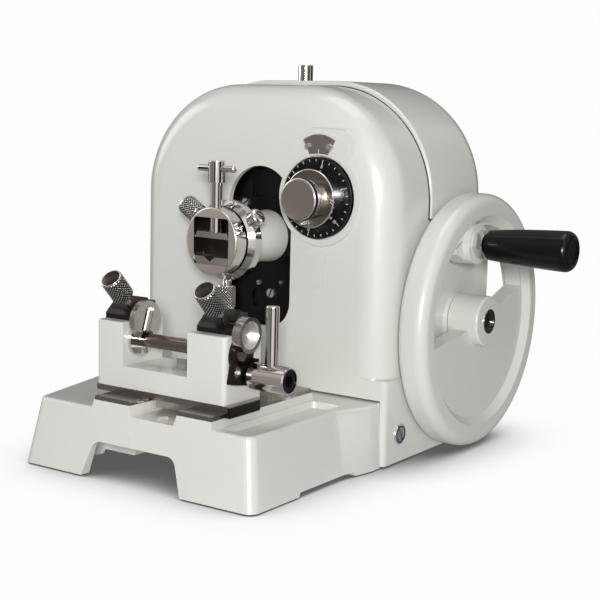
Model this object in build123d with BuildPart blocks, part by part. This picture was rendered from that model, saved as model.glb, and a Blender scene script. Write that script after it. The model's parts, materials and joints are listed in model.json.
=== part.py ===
from build123d import *
import os
from math import cos, radians, sin, sqrt, tan

# Rotary microtome. Millimetres, +Z up, +X to the handwheel side, the specimen
# faces -Y. The origin lies on the bench under the middle of the whole footprint.
os.makedirs("parts", exist_ok=True)

# Datums. Across, back and up in the rest of the file are counted from the middle
# of the base casting, from the front face of the housing and from the bench.
base_x = -45.5
face_y = -30.3

# Clearances
running = 0.05           # radial clearance of a shaft in its bore
slack = 0.3              # between curved faces of two bodies
way_slack = 0.1          # between flat sliding faces

# Housing
body_mid = -10.0         # middle of the housing, left to right
body_half = 130.0
body_top = 305.0
body_depth = 175.5
body_corner = 95.0       # the big round corners of the front view
face_round = 27.0        # how the face turns into the sides
wall = 5.0
shell_bottom = 56.0      # lower edge of the front face, just over the deck
plinth_half = body_half + 2.0
plinth_top = 72.0
plinth_bottom = 2.5
plinth_wall = 5.0
seam_back = 63.0         # the hood starts here
seam_gap = 1.6
sill_z = 197.0           # the side walls end here under the hood

# Base casting
pad_stand = 1.5          # how far the rubber pads hold the casting off the bench
pad_r = 9.0
pad_recess = 2.0
deck_z = 54.5            # flat top of the base
bed_z = 60.5             # raised bed that carries the rails
trough_z = 52.5          # floor of the groove between the rails
pan_z = 49.5             # floor of the chip pan on the right
base_half = body_half - 16.5   # half width of the front at the bench
base_front = 164.5       # front edge at the bench, forward of the housing
lean_side = 9.0          # the casting's sides lean in by this much
lean_front = 8.5
flare_back = 45.0        # where the right side starts to flare out
arch_top = 29.5
arch_left = -42.0
arch_right = 37.5
arch_lean = 10.0
arch_deep = 30.0         # the arch ends this far in front of the housing
front_wall = 9.0         # the front feet are hollow behind a wall this thick
belly_rise = 4.5         # the sides' underside between the feet
belly_front = 104.0
belly_back = 33.0
bed_left = -46.5
bed_right = 70.0
bed_back = 24.0
trough_left = -8.0
trough_right = 34.0
pan_right = 99.5
pan_front = 149.0
floor_plate = 14.0       # top of the plate under the mechanism

# Hood and its hinge
hood_side = 1.4          # how far the hood stands proud of the housing's side
hood_rise = 4.6          # and of its top
hood_wall = 4.0
hood_round = 35.5
corner_ledge = 34.0
hinge_r = 5.0
hinge_pin_r = 2.5
hinge_stand = 6.5        # hinge axis behind the rear wall
lift_pin_r = 6.4
lift_pin_x = -12.0
lift_pin_back = 72.5
lift_pin_top = 323.0

# Specimen slot in the housing's face
slot_mid = -5.5
slot_half = 32.2
slot_low = 104.0
slot_high = 238.0
slot_low_round = 22.0

# Handwheel and its shaft
shaft_back = body_depth - 58.5
shaft_z = 110.5
wheel_r = 108.0
wheel_in = body_mid + body_half + 4.8    # inner face of the wheel, across
wheel_out = wheel_in + 24.2              # outer face of the rim
wheel_tilt = 16.0        # the crank arm leans this far forward of upright
web_out = wheel_out - 5.5
web_in = wheel_in + 3.7
lip_r = 90.0             # inner edge of the rim's flat
window_r = 81.5
hub_r = 21.5
hub_out = wheel_out + 3.0
shaft_r = 10.0
handle_reach = 70.0      # handle axis from the shaft
lobe_r = 17.0
web_drop = 4.0           # the web's upper edge passes this far under the shaft
web_left = 8.3           # degrees that its two halves rise from there
web_right = 2.7
web_reach = 100.0
shelf_reach = 28.0       # the shelf beside the lobe runs into the rim
lobe_out = wheel_out + 0.2
hub_in = wheel_in - 0.6
hub_ring_r = 10.5
hub_bolt_r = 8.4
shaft_out = wheel_out - 3.0
bush_r = 14.0
boss_r = 22.0

# Handle
spindle_r = 5.0
nut_size = 21.0
nut_thick = 8.5
grip_neck = lobe_out + nut_thick + 0.5
grip_start = grip_neck + 2.3
grip_end = grip_start + 72.5
grip_small_r = 12.6
grip_big_r = 16.6

# Crank
crank_r = 30.0
crank_rise = 8.5         # how far the pin stands over the shaft at rest
disc_r = 43.0
disc_in = 30.0
disc_thick = 12.0
roller_r = 9.0
roller_gap = 0.6         # the pin stops this short of the yoke

# Vertical slide and its ways
slide_front = 12.0
slide_thick = 26.0
slide_half = 41.5
slide_low = 86.0
slide_high = 270.0
vee = 6.0
vee_mid = 28.0
post_thick = 18.0
post_front = 10.0
post_back = 46.0
post_top = 284.0
yoke_thick = 12.0
yoke_half = 19.0
yoke_in = 12.0

# Specimen arm and feed
arm_x = slot_mid
arm_z = 179.0
quill_r = 17.0
nose_r = 22.0
nose_tip_r = 18.5
quill_back = 80.0
sleeve_r = 25.0
feed_screw_r = 5.0
ratchet_r = 25.0
ratchet_teeth = 60
ratchet_thick = 5.0
tooth_depth = 1.6

# Head
pivot_front = 37.0       # ball centre, forward of the face
ball_r = 12.0
nose_end = 32.5          # front end of the arm's painted nose
head_turn = -5.0         # degrees that the head stands turned on its ball
head_r = 27.4
head_front = 62.5
head_back = 50.5
ring_r = 32.5
ring_back = 36.5
ring_slope = 4.2         # the ring's front edge is a wide bevel
mouth = 38.0             # side of the square clamp opening
mouth_deep = 11.0
jaw_thick = 5.0
jaw_z = 184.0
tee_back = 56.7
tee_r = 4.6
tee_head_r = 6.8
tee_tip_r = 2.6          # reduced tip that turns in the moving jaw
tee_low = 226.0
tee_high = 243.5

# Thickness dial
dial_x = 54.9
dial_z = 215.0
dial_r = 32.9
boss_rise = 3.0
dial_front = 7.5
collar_r = 23.5
collar_front = 17.0
knob_r = 17.3
knob_front = 32.5
dial_shaft_r = 6.0

# Knife block
block_left = -61.5
block_right = 65.5
block_front = 136.5
block_back = 89.5
block_low = 68.5
block_high = 119.5
gap_left = -34.0
gap_right = 30.0
gap_low = 85.5
rail_thick = 3.4
sole_left = -60.0
sole_right = 71.0
seat_front = 118.0       # axis of the knife seats, forward of the face
seat_z = 120.0
seat_r = 15.5
seat_thick = 5.2
seat_right_in = 67.8
seat_ring_r = 13.6
seat_bore_r = 10.6
trunnion_r = 8.6
tilt_room = 2.5          # round the tie bar, for the seat's tilt
bar_z = 104.5            # axis of the bar between the seats
bar_r = 5.6
bar_collar_r = 13.5
seat_left = -25.0        # outer faces of the two seats
seat_right = 75.0
clamp_tilt = 46.5        # the knife screws lean this far above level
bracket_wide = 26.5
screw_in = 15.8          # the knife screw's line, in from the bracket's left edge
screw_up = 12.8          # and up its leaning face
bracket_front = 127.0
bracket_back = 98.0
bracket_low = 122.6
bracket_high = 135.6
slot_wall = 5.0          # in front of the knife slot
slot_wide = 7.0
stud_r = 4.0
bracket_left = -61.0     # left edge of the left bracket
bracket_span = 92.0      # from there to the right bracket's
lever_back = -112.5      # axis of the side lever
lever_z = 89.0
lever_r = 10.2
lever_in = 74.0
lever_out = 107.0
lever_rod_r = 5.0
lever_rod_top = 143.0


index_screw_span = 20.4
index_screw_z = 256.0
plate_thick = 1.5
dial_bush_r = 9.0
plug_r = 8.6
cover_thick = 2.5
cover_top = 211.0        # the black cover plate ends here, over it is the bare slide
port_x = -14.0           # oval port in the cover plate
port_z = 126.0
port_high = 15.0
port_wide = 10.0
recess_left = -22.0
recess_right = -10.0
cover_screws = [(-26.5, 206.0, 4.2), (1.6, 131.0, 4.6), (-11.0, 139.0, 2.6), (12.0, 141.0, 2.2)]
ring_screw_r = 3.0
ring_screw_turns = [150, 270, 33]
cross_r = 2.8
cross_half = 20.0
cross_z = 237.0
knife_screw_r = 2.5
knife_knob_r = 9.0
knife_knob_low = 8.5
knife_knob_long = 21.5
lever_stud_r = 6.0
lever_rim = 1.3
clamp_nut_x = 10.0
clamp_nut_back = -112.0


def level(height):
    """A horizontal plane at a height, its sketch in (across, back)."""
    return Plane(origin=(base_x, face_y, height))


def front(back):
    """An upright plane facing the front, its sketch in (across, up)."""
    return Plane(origin=(base_x, face_y + back, 0), x_dir=(1, 0, 0), z_dir=(0, -1, 0))


def side(across):
    """An upright plane facing the handwheel side, its sketch in (back, up)."""
    return Plane(origin=(base_x + across, face_y, 0), x_dir=(0, 1, 0), z_dir=(1, 0, 0))


def spot(across, back, up):
    """A point of the stand in the model's own frame."""
    return (base_x + across, face_y + back, up)


def keep(piece, name):
    """Label a finished piece and write it to its own file."""
    piece.part.label = name
    export_step(piece.part, f"parts/{name}.step")


def keep_turned(piece, name):
    """Keep a piece of the head, turned on the ball to where the head stands."""
    piece.part.label = name
    turned = piece.part.rotate(Axis(ball_spot, (0, 0, 1)), head_turn)
    turned.label = name
    export_step(turned, f"parts/{name}.step")


def arch_profile(plane, half, top, corner, low):
    """The housing's front view: upright sides and a flat top joined by round corners."""
    left, right = body_mid - half, body_mid + half
    with BuildSketch(plane) as profile:
        with BuildLine():
            Polyline((left, top - corner), (left, low), (right, low), (right, top - corner))
            RadiusArc((right, top - corner), (right - corner, top), -corner)
            Line((right - corner, top), (left + corner, top))
            RadiusArc((left + corner, top), (left, top - corner), -corner)
        make_face()
    return profile.sketch


def outline(plane, *points):
    """A flat closed shape with straight sides."""
    with BuildSketch(plane) as shape:
        with BuildLine():
            Polyline(*points, close=True)
        make_face()
    return shape.sketch


def box_outline(plane, low, high):
    """An upright rectangle between two corners."""
    return outline(plane, low, (high[0], low[1]), high, (low[0], high[1]))


def rod(plane, radius, start, end, mode=Mode.ADD):
    """A round bar or a round hole along a plane's normal, between two heights over it."""
    with BuildSketch(plane.offset(start)) as end_face:
        Circle(radius)
    extrude(end_face.sketch, amount=end - start, mode=mode)


def ring_screw_line(turn):
    """The line of a screw that points out from the head's ring, turned about the arm."""
    out = (cos(radians(turn)), 0, sin(radians(turn)))
    return Plane(origin=spot(arm_x, -(ring_back + head_back) / 2, arm_z), z_dir=out)


def on_face(along, inward):
    """A point (back, up) counted along a bracket's leaning face and into it."""
    return (-bracket_front + along * sin(radians(clamp_tilt)) + inward * cos(radians(clamp_tilt)),
            bracket_low + along * cos(radians(clamp_tilt)) - inward * sin(radians(clamp_tilt)))


def knife_screw_line(left):
    """The line of a knife screw, square to its bracket's leaning face."""
    lean = radians(clamp_tilt)
    return Plane(origin=spot(left + screw_in, *on_face(screw_up, 0)), x_dir=(1, 0, 0),
                 z_dir=(0, -cos(lean), sin(lean)))


ball_spot = spot(arm_x, -pivot_front, arm_z)
plug_line = Plane(origin=spot(body_mid + plinth_half, 24, 25.5), x_dir=(0, 1, 0), z_dir=(1, 0, 0))
lift_line = Plane(origin=spot(lift_pin_x, lift_pin_back, 0))
tee_line = Plane(origin=spot(arm_x, -tee_back, 0))
cross_line = Plane(origin=spot(arm_x, -tee_back, cross_z), x_dir=(0, 1, 0), z_dir=(1, 0, 0))
bar_line = Plane(origin=spot(0, -seat_front, bar_z), x_dir=(0, 1, 0), z_dir=(1, 0, 0))
seat_line = Plane(origin=spot(0, -seat_front, seat_z), x_dir=(0, 1, 0), z_dir=(1, 0, 0))
nut_line = Plane(origin=spot(clamp_nut_x, clamp_nut_back, 0))
lever_line = Plane(origin=spot(0, lever_back, lever_z), x_dir=(0, 1, 0), z_dir=(1, 0, 0))
lever_rod_line = Plane(origin=spot((lever_in + lever_out) / 2, lever_back, 0))
tilt_sin, tilt_cos = sin(radians(wheel_tilt)), cos(radians(wheel_tilt))
handle_spot = spot(0, shaft_back - handle_reach * tilt_sin, shaft_z + handle_reach * tilt_cos)
handle_line = Plane(origin=handle_spot, x_dir=(0, 1, 0), z_dir=(1, 0, 0))


# Base casting: a drafted bed on two feet, with an arch through the front, a raised
# bed with a groove, a chip pan and a floor plate that carries the mechanism.
left_back = body_mid - body_half + 1.5
right_back = body_mid + body_half - 4.0
foot_plan = [(-base_half, -base_front), (base_half, -base_front), (base_half, -flare_back),
             (right_back + 3, -12), (right_back + 3, -0.5),
             (left_back - 2.5, -0.5), (left_back - 2.5, -14)]
deck_plan = [(-base_half + lean_side, -base_front + lean_front),
             (base_half - lean_side, -base_front + lean_front),
             (base_half - lean_side, -flare_back),
             (right_back, -12), (right_back, -0.5),
             (left_back, -0.5), (left_back, -14)]
inner_left = body_mid - plinth_half + plinth_wall + 0.5
inner_right = body_mid + plinth_half - plinth_wall - 0.5
inner_back = body_depth - plinth_wall - 0.5
pad_front = -base_front + 18.5
pad_back = body_depth - 20
pad_spots = [(-base_half + 17.5, pad_front), (base_half - 17.5, pad_front),
             (body_mid - body_half + 16, pad_back), (body_mid + body_half - 16, pad_back)]

with BuildPart() as base_casting:
    with BuildSketch(level(pad_stand)):
        with BuildLine():
            Polyline(*foot_plan, close=True)
        make_face()
    with BuildSketch(level(deck_z)):
        with BuildLine():
            Polyline(*deck_plan, close=True)
        make_face()
    loft(ruled=True)
    uprights = base_casting.edges().filter_by(lambda e: abs((e % 0.5).Z) > 0.8)
    fillet(uprights.group_by(Axis.Y)[0], 9)
    deck = base_casting.faces().sort_by(Axis.Z)[-1]
    fillet(deck.edges().filter_by(lambda e: e.center().Y < face_y - 6), 3)
    # raised bed
    with BuildSketch(level(deck_z - 2)):
        with BuildLine():
            Polyline((bed_left - 2, -base_front + lean_front - 0.6), (bed_right, -base_front + lean_front - 0.6),
                     (bed_right, -bed_back), (bed_left - 2, -bed_back), close=True)
        make_face()
    extrude(amount=bed_z - deck_z + 2, taper=12)
    # groove between the rails, open to the front
    with BuildSketch(front(-bed_back)):
        with BuildLine():
            Polyline((trough_left, trough_z), (trough_right, trough_z), (trough_right + 2, bed_z + 1),
                     (trough_left - 2, bed_z + 1), close=True)
        make_face()
    extrude(amount=base_front, mode=Mode.SUBTRACT)
    # chip pan
    with BuildSketch(level(deck_z + 1)):
        with BuildLine():
            Polyline((bed_right + 1, -pan_front), (pan_right, -pan_front), (pan_right, -28),
                     (bed_right + 1, -28), close=True)
        make_face()
        fillet(vertices(), 5)
    extrude(amount=pan_z - deck_z - 1, mode=Mode.SUBTRACT, taper=14)
    # arch through the front, between the feet
    with BuildSketch(front(-arch_deep)):
        with BuildLine():
            Polyline((arch_left - arch_lean, 0), (arch_left, arch_top),
                     (arch_right, arch_top), (arch_right + arch_lean, 0), close=True)
        make_face()
        fillet(vertices().group_by(Axis.Y)[-1], 9)
    extrude(amount=base_front, mode=Mode.SUBTRACT)
    # the front feet are hollow between the pads' bosses
    pocket_half = base_half - 17.5 - pad_r - 5
    extrude(box_outline(level(0), (-pocket_half, -base_front + front_wall), (pocket_half, -belly_front)),
            amount=arch_top - 1.5, mode=Mode.SUBTRACT)
    # raised underside between the front feet and the housing
    with BuildSketch(side(-body_half - 40)):
        with BuildLine():
            Polyline((-belly_front - 3, 0), (-belly_front, belly_rise), (-belly_back, belly_rise),
                     (-belly_back + 3, 0), close=True)
        make_face()
    extrude(amount=2 * body_half + 80, mode=Mode.SUBTRACT)
    # the part inside the housing: a step behind the face and the floor plate
    with BuildSketch(level(pad_stand)):
        with Locations(((inner_left + inner_right) / 2, 4)):
            Rectangle(inner_right - inner_left, 9)
    extrude(amount=deck_z - pad_stand)
    with BuildSketch(level(pad_stand)):
        with BuildLine():
            Polyline((inner_left, 0), (inner_right, 0), (inner_right, inner_back),
                     (inner_left, inner_back), close=True)
        make_face()
    extrude(amount=floor_plate - pad_stand)
    # sockets for the rubber pads
    with BuildSketch(level(pad_stand)):
        with Locations(*pad_spots):
            Circle(pad_r + way_slack)
    extrude(amount=pad_recess, mode=Mode.SUBTRACT)
keep(base_casting, "base_casting")

with BuildPart() as rubber_pads:
    for across, back in pad_spots:
        with Locations(spot(across, back, 0)):
            Cylinder(pad_r, pad_stand + pad_recess, align=(Align.CENTER, Align.CENTER, Align.MIN))
keep(rubber_pads, "rubber_pads")

# Bed rails: two flat steel strips with a bevelled outer edge.
rail_front = base_front - lean_front - 1.0
rails = [(bed_left + 0.7, trough_left - 2.4), (trough_right + 2.4, bed_right - 0.7 - 1.0)]
with BuildPart() as bed_rails:
    for left, right in rails:
        with BuildSketch(level(bed_z)):
            with BuildLine():
                Polyline((left, -rail_front), (right, -rail_front), (right, -bed_back - 2),
                         (left, -bed_back - 2), close=True)
            make_face()
    extrude(amount=rail_thick)
    chamfer(bed_rails.faces().sort_by(Axis.Z)[-2:].edges().filter_by(Axis.Y), 0.8)
keep(bed_rails, "bed_rails")

# Housing: one casting with the round face, the side walls, the plinth, the dial
# seat, the bearing boss and the hinge leaves at the back.
lobe_top = 271.5
boss_in = body_mid + body_half - 25
boss_out = body_mid + body_half + 3.6
shaft_line = Plane(origin=spot(0, shaft_back, shaft_z), x_dir=(0, 1, 0), z_dir=(1, 0, 0))
hinge_back = body_depth + hinge_stand
hinge_z = sill_z + seam_gap / 2
hinge_line = Plane(origin=spot(0, hinge_back, hinge_z), x_dir=(0, 1, 0), z_dir=(1, 0, 0))
hinge_mids = [body_mid - 75, body_mid + 75]
knuckle = 12.0
leaf = 3.0

with BuildPart() as housing_core:
    extrude(arch_profile(front(body_depth - wall), body_half - wall, body_top - wall,
                         body_corner - wall, 0), amount=body_depth - 2 * wall)
    inner_face = housing_core.faces().sort_by(Axis.Y)[0]
    fillet(inner_face.edges().filter_by(lambda e: e.center().Z > 1), face_round - wall)

with BuildPart() as housing:
    extrude(arch_profile(front(body_depth), body_half, body_top, body_corner, shell_bottom),
            amount=body_depth)
    outer_face = housing.faces().sort_by(Axis.Y)[0]
    fillet(outer_face.edges().filter_by(lambda e: e.center().Z > shell_bottom + 1), face_round)
    # raised seat of the dial with its lobe
    with BuildSketch(front(0)):
        with Locations((dial_x, dial_z)):
            Circle(dial_r + 7)
        with BuildLine():
            Polyline((dial_x - 17, dial_z + 30), (dial_x - 17, lobe_top - 8), (dial_x - 9, lobe_top),
                     (dial_x + 24, lobe_top - 1), (dial_x + 33, lobe_top - 7),
                     (dial_x + 25, dial_z + 20), close=True)
        make_face()
        fillet(vertices().filter_by(lambda v: v.Y > lobe_top - 9), 4)
    extrude(amount=boss_rise, taper=22)
    rod(front(0).shift_origin(spot(dial_x, 0, dial_z)), dial_r + 1, 0.01, boss_rise + 1, Mode.SUBTRACT)
    # plinth
    with BuildSketch(level(plinth_bottom)):
        with BuildLine():
            Polyline((body_mid - plinth_half, 0), (body_mid + plinth_half, 0),
                     (body_mid + plinth_half, body_depth), (body_mid - plinth_half, body_depth),
                     close=True)
        make_face()
        fillet(vertices(), 5)
    extrude(amount=plinth_top - plinth_bottom)
    # hollow inside, open below
    add(housing_core.part, mode=Mode.SUBTRACT)
    extrude(box_outline(level(0), (inner_left - 0.5, -1), (inner_right + 0.5, inner_back + 0.5)),
            amount=shell_bottom, mode=Mode.SUBTRACT)
    # the top and the upper sides behind the seam belong to the hood
    extrude(box_outline(level(sill_z), (body_mid - 200, seam_back), (body_mid + 200, 220)),
            amount=200, mode=Mode.SUBTRACT)
    # ledge that closes the square rear corners under the hood's round ones
    with BuildSketch(level(sill_z - wall)):
        with Locations((body_mid, body_depth - corner_ledge / 2)):
            Rectangle(2 * body_half, corner_ledge)
        with Locations((body_mid, body_depth - wall - hood_round)):
            RectangleRounded(2 * (body_half - wall), 2 * hood_round, hood_round - wall, mode=Mode.SUBTRACT)
    extrude(amount=wall)
    # specimen slot
    with BuildSketch(front(wall + 30)):
        with BuildLine():
            Polyline((slot_mid - slot_half, slot_high - slot_half), (slot_mid - slot_half, slot_low),
                     (slot_mid + slot_half, slot_low), (slot_mid + slot_half, slot_high - slot_half))
            RadiusArc((slot_mid + slot_half, slot_high - slot_half),
                      (slot_mid - slot_half, slot_high - slot_half), -slot_half)
        make_face()
        fillet(vertices().group_by(Axis.Y)[0], slot_low_round)
    extrude(amount=wall + 31, mode=Mode.SUBTRACT)
    # bearing boss on the side wall
    rod(shaft_line, boss_r, boss_in, boss_out)
    rod(shaft_line, bush_r, boss_in, boss_out, Mode.SUBTRACT)
    # bore of the dial's bush
    rod(front(0).shift_origin(spot(dial_x, 0, dial_z)), dial_bush_r, -wall, boss_rise, Mode.SUBTRACT)
    # hinge leaves and their middle knuckles
    for mid in hinge_mids:
        extrude(box_outline(front(body_depth), (mid - knuckle / 2, sill_z - 20),
                            (mid + knuckle / 2, hinge_z)), amount=-leaf)
        rod(hinge_line, hinge_r, mid - knuckle / 2, mid + knuckle / 2)
        rod(hinge_line, hinge_pin_r, mid - knuckle / 2, mid + knuckle / 2, Mode.SUBTRACT)
    # hole of the side plug
    rod(plug_line, plug_r, -plinth_wall, 1, Mode.SUBTRACT)
keep(housing, "housing")

# Side plug: a chromed slotted cap over the levelling screw's hole.
with BuildPart() as side_plug:
    rod(plug_line, plug_r, -plinth_wall, 1.6)
    fillet(side_plug.faces().sort_by(Axis.X)[-1].edges(), 0.8)
    rim_face = Plane(side_plug.faces().sort_by(Axis.X)[-1])
    with BuildSketch(rim_face):
        Rectangle(1.8, 2 * plug_r, rotation=28)
    extrude(amount=-0.9, mode=Mode.SUBTRACT)
keep(side_plug, "side_plug")

# Index plate: a fan-shaped steel plate over the dial, with two screws.
plate_back = -boss_rise
with BuildPart() as index_plate:
    with BuildSketch(front(plate_back)):
        with BuildLine():
            l1 = Polyline((dial_x - 8.5, dial_z + 34.6), (dial_x - 15, dial_z + 46))
            RadiusArc(l1 @ 1, (dial_x + 15, dial_z + 46), 26)
            l2 = Line((dial_x + 15, dial_z + 46), (dial_x + 8.5, dial_z + 34.6))
            RadiusArc(l2 @ 1, l1 @ 0, -(dial_r + 2.8))
        make_face()
    extrude(amount=plate_thick)
    for across in (-index_screw_span / 2, index_screw_span / 2):
        rod(front(0).shift_origin(spot(dial_x + across, 0, index_screw_z)), 1.6,
            boss_rise, boss_rise + plate_thick, Mode.SUBTRACT)
keep(index_plate, "index_plate")

with BuildPart() as index_screws:
    for across in (-index_screw_span / 2, index_screw_span / 2):
        line = front(0).shift_origin(spot(dial_x + across, 0, index_screw_z))
        start = boss_rise + plate_thick
        rod(line, 1.6, boss_rise, start)
        with BuildSketch(line.offset(start)):
            Circle(3.1)
        extrude(amount=1.9, taper=24)
keep(index_screws, "index_screws")

# Hood: the rear cover over the mechanism, a shell that hinges back.
hood_front = seam_back + seam_gap
hood_low = sill_z + seam_gap
hood_half = body_half + hood_side
hood_top = body_top + hood_rise
hood_corner = body_corner + hood_side
with BuildPart() as hood_core:
    extrude(arch_profile(front(body_depth - hood_wall), hood_half - hood_wall, hood_top - hood_wall,
                         hood_corner - hood_wall, 0), amount=body_depth)
    back_face = hood_core.faces().sort_by(Axis.Y)[-1]
    fillet(back_face.edges().filter_by(lambda e: e.center().Z > 1), hood_round - hood_wall)

with BuildPart() as hood:
    extrude(arch_profile(front(body_depth), hood_half, hood_top, hood_corner, hood_low),
            amount=body_depth - hood_front)
    back_face = hood.faces().sort_by(Axis.Y)[-1]
    fillet(back_face.edges().filter_by(lambda e: e.center().Z > hood_low + 1), hood_round)
    front_face = hood.faces().sort_by(Axis.Y)[0]
    fillet(front_face.edges().filter_by(lambda e: e.center().Z > hood_low + 1), 2.4)
    add(hood_core.part, mode=Mode.SUBTRACT)
    for mid in hinge_mids:
        for way in (-1, 1):
            near = mid + way * (knuckle / 2 + slack)
            far = mid + way * (knuckle * 1.3)
            low_x, high_x = min(near, far), max(near, far)
            extrude(box_outline(front(body_depth), (low_x, hinge_z), (high_x, sill_z + 20)),
                    amount=-leaf)
            rod(hinge_line, hinge_r, low_x, high_x)
            rod(hinge_line, hinge_pin_r + running, low_x, high_x, Mode.SUBTRACT)
    rod(lift_line, lift_pin_r, hood_top - 12, hood_top + 1, Mode.SUBTRACT)
keep(hood, "hood")

with BuildPart() as hinge_pins:
    for mid in hinge_mids:
        rod(hinge_line, hinge_pin_r, mid - knuckle * 1.3 - 1.5, mid + knuckle * 1.3 + 1.5)
keep(hinge_pins, "hinge_pins")

# Lift pin: the chromed peg that the hood is swung by.
with BuildPart() as lift_pin:
    rod(lift_line, lift_pin_r, hood_top - hood_wall - 9, lift_pin_top)
    fillet(lift_pin.faces().sort_by(Axis.Z)[-1].edges(), 0.9)
keep(lift_pin, "lift_pin")

# Guide frame: two upright ways with vee grooves, tied behind the slide, on feet
# that stand on the floor plate.
way_left = slot_mid - slide_half - way_slack
way_right = slot_mid + slide_half + way_slack
with BuildPart() as guide_frame:
    for inner, way in ((way_left, -1), (way_right, 1)):
        groove = vee + way_slack
        extrude(outline(level(floor_plate),
                        (inner, post_front), (inner + way * post_thick, post_front),
                        (inner + way * post_thick, post_back), (inner, post_back),
                        (inner, vee_mid + groove), (inner + way * groove, vee_mid),
                        (inner, vee_mid - groove)), amount=post_top - floor_plate)
        foot_low, foot_high = sorted((inner, inner + way * (post_thick + 12)))
        extrude(box_outline(level(floor_plate), (foot_low, post_back - 8), (foot_high, post_back + 16)),
                amount=12)
    for low, high in ((floor_plate, floor_plate + 26), (post_top - 20, post_top)):
        extrude(box_outline(front(post_back), (way_left - 1, low), (way_right + 1, high)), amount=5)
    rod(front(0).shift_origin(spot(dial_x, 0, dial_z)), dial_shaft_r + 1.2, -post_back - 1,
        -post_front + 1, Mode.SUBTRACT)
keep(guide_frame, "guide_frame")

# Vertical slide: a plate with vee edges, bored for the arm.
arm_line = front(0).shift_origin(spot(arm_x, 0, arm_z))
slide_back = slide_front + slide_thick
with BuildPart() as vertical_slide:
    left, right = slot_mid - slide_half, slot_mid + slide_half
    extrude(outline(level(slide_low),
                    (left, slide_front), (right, slide_front), (right, vee_mid - vee),
                    (right + vee, vee_mid), (right, vee_mid + vee), (right, slide_back),
                    (left, slide_back), (left, vee_mid + vee), (left - vee, vee_mid),
                    (left, vee_mid - vee)), amount=slide_high - slide_low)
    rod(arm_line, quill_r + running, -slide_back - 1, -slide_front + 1, Mode.SUBTRACT)
    # upright recess at the top of the face
    extrude(box_outline(front(slide_front + 4), (recess_left, cover_top), (recess_right, slide_high + 1)),
            amount=5, mode=Mode.SUBTRACT)
keep(vertical_slide, "vertical_slide")

with BuildPart() as slide_cover:
    extrude(box_outline(front(slide_front), (slot_mid - slide_half + 4.5, slide_low + 2),
                        (slot_mid + slide_half - 4.5, cover_top)),
            amount=cover_thick)
    rod(arm_line, nose_r + 0.8, -slide_front, cover_thick - slide_front + 1, Mode.SUBTRACT)
    with BuildSketch(front(slide_front)):
        with Locations((port_x, port_z)):
            SlotOverall(port_high, port_wide, rotation=90)
    extrude(amount=cover_thick, mode=Mode.SUBTRACT)
keep(slide_cover, "slide_cover")

with BuildPart() as slide_screws:
    for across, up, radius in cover_screws:
        line = front(0).shift_origin(spot(across, 0, up))
        with BuildSketch(line.offset(cover_thick - slide_front)):
            Circle(radius)
        extrude(amount=2.2, taper=20)
keep(slide_screws, "slide_screws")

# Crank yoke: the slide's rear arm, slotted for the crank's roller.
yoke_out = yoke_in + yoke_thick
pin_rest_z = shaft_z + crank_rise
with BuildPart() as crank_yoke:
    extrude(box_outline(side(yoke_in), (slide_back, pin_rest_z - yoke_half),
                        (shaft_back + crank_r + roller_r + 5.5, pin_rest_z + yoke_half)),
            amount=yoke_thick)
    fillet(crank_yoke.edges().filter_by(Axis.X).group_by(Axis.Y)[-1], 9)
    with BuildSketch(side(yoke_in)):
        with Locations((shaft_back, pin_rest_z)):
            SlotOverall(2 * (crank_r + roller_r + slack), 2 * (roller_r + slack))
    extrude(amount=yoke_thick, mode=Mode.SUBTRACT)
    extrude(box_outline(front(slide_back + 6), (yoke_in - 8, pin_rest_z - yoke_half),
                        (yoke_out + 4, pin_rest_z + yoke_half)), amount=6)
keep(crank_yoke, "crank_yoke")

# Feed sleeve: the bored housing behind the slide that the quill runs in.
sleeve_back = quill_back + 10
with BuildPart() as feed_sleeve:
    rod(arm_line, sleeve_r, -sleeve_back, -slide_back)
    rod(arm_line, quill_r + running, -quill_back - 4, -slide_back, Mode.SUBTRACT)
    rod(arm_line, feed_screw_r + running, -sleeve_back, -quill_back, Mode.SUBTRACT)
keep(feed_sleeve, "feed_sleeve")

# Specimen arm: a quill with a painted nose, bored for the feed screw and cupped
# for the ball of the head.
with BuildPart() as specimen_arm:
    rod(arm_line, quill_r, -quill_back, 1.5 - slide_front)
    with BuildSketch(arm_line.offset(1 - slide_front)):
        Circle(nose_r)
    with BuildSketch(arm_line.offset(nose_end)):
        Circle(nose_tip_r)
    loft()
    fillet(specimen_arm.faces().sort_by(Axis.Y)[0].edges(), 2)
    rod(arm_line, feed_screw_r + running, -quill_back, -16, Mode.SUBTRACT)
    with Locations(ball_spot):
        Sphere(ball_r + slack, mode=Mode.SUBTRACT)
keep(specimen_arm, "specimen_arm")

with BuildPart() as tilt_ball:
    with Locations(ball_spot):
        Sphere(ball_r)
keep(tilt_ball, "tilt_ball")

# Feed screw with its ratchet wheel and the rocker that drives it.
ratchet_start = sleeve_back + 1
rocker_start = ratchet_start + ratchet_thick + slack
rocker_thick = 4.0
with BuildPart() as feed_screw:
    rod(arm_line, feed_screw_r, -(rocker_start + rocker_thick + slack), -24)
    with BuildSketch(arm_line.offset(-rocker_start - rocker_thick - slack - 4)):
        RegularPolygon(8.5, 6)
    extrude(amount=4)
keep(feed_screw, "feed_screw")

with BuildPart() as ratchet_wheel:
    pitch = 360 / ratchet_teeth
    rim = []
    for tooth in range(ratchet_teeth):
        for turn, radius in ((0.0, ratchet_r - tooth_depth), (0.75, ratchet_r), (0.999, ratchet_r)):
            at = radians((tooth + turn) * pitch)
            rim.append((radius * cos(at), radius * sin(at)))
    extrude(outline(arm_line.offset(-ratchet_start - ratchet_thick), *rim), amount=ratchet_thick)
    rod(arm_line, feed_screw_r, -ratchet_start - ratchet_thick, -ratchet_start, Mode.SUBTRACT)
keep(ratchet_wheel, "ratchet_wheel")

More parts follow.
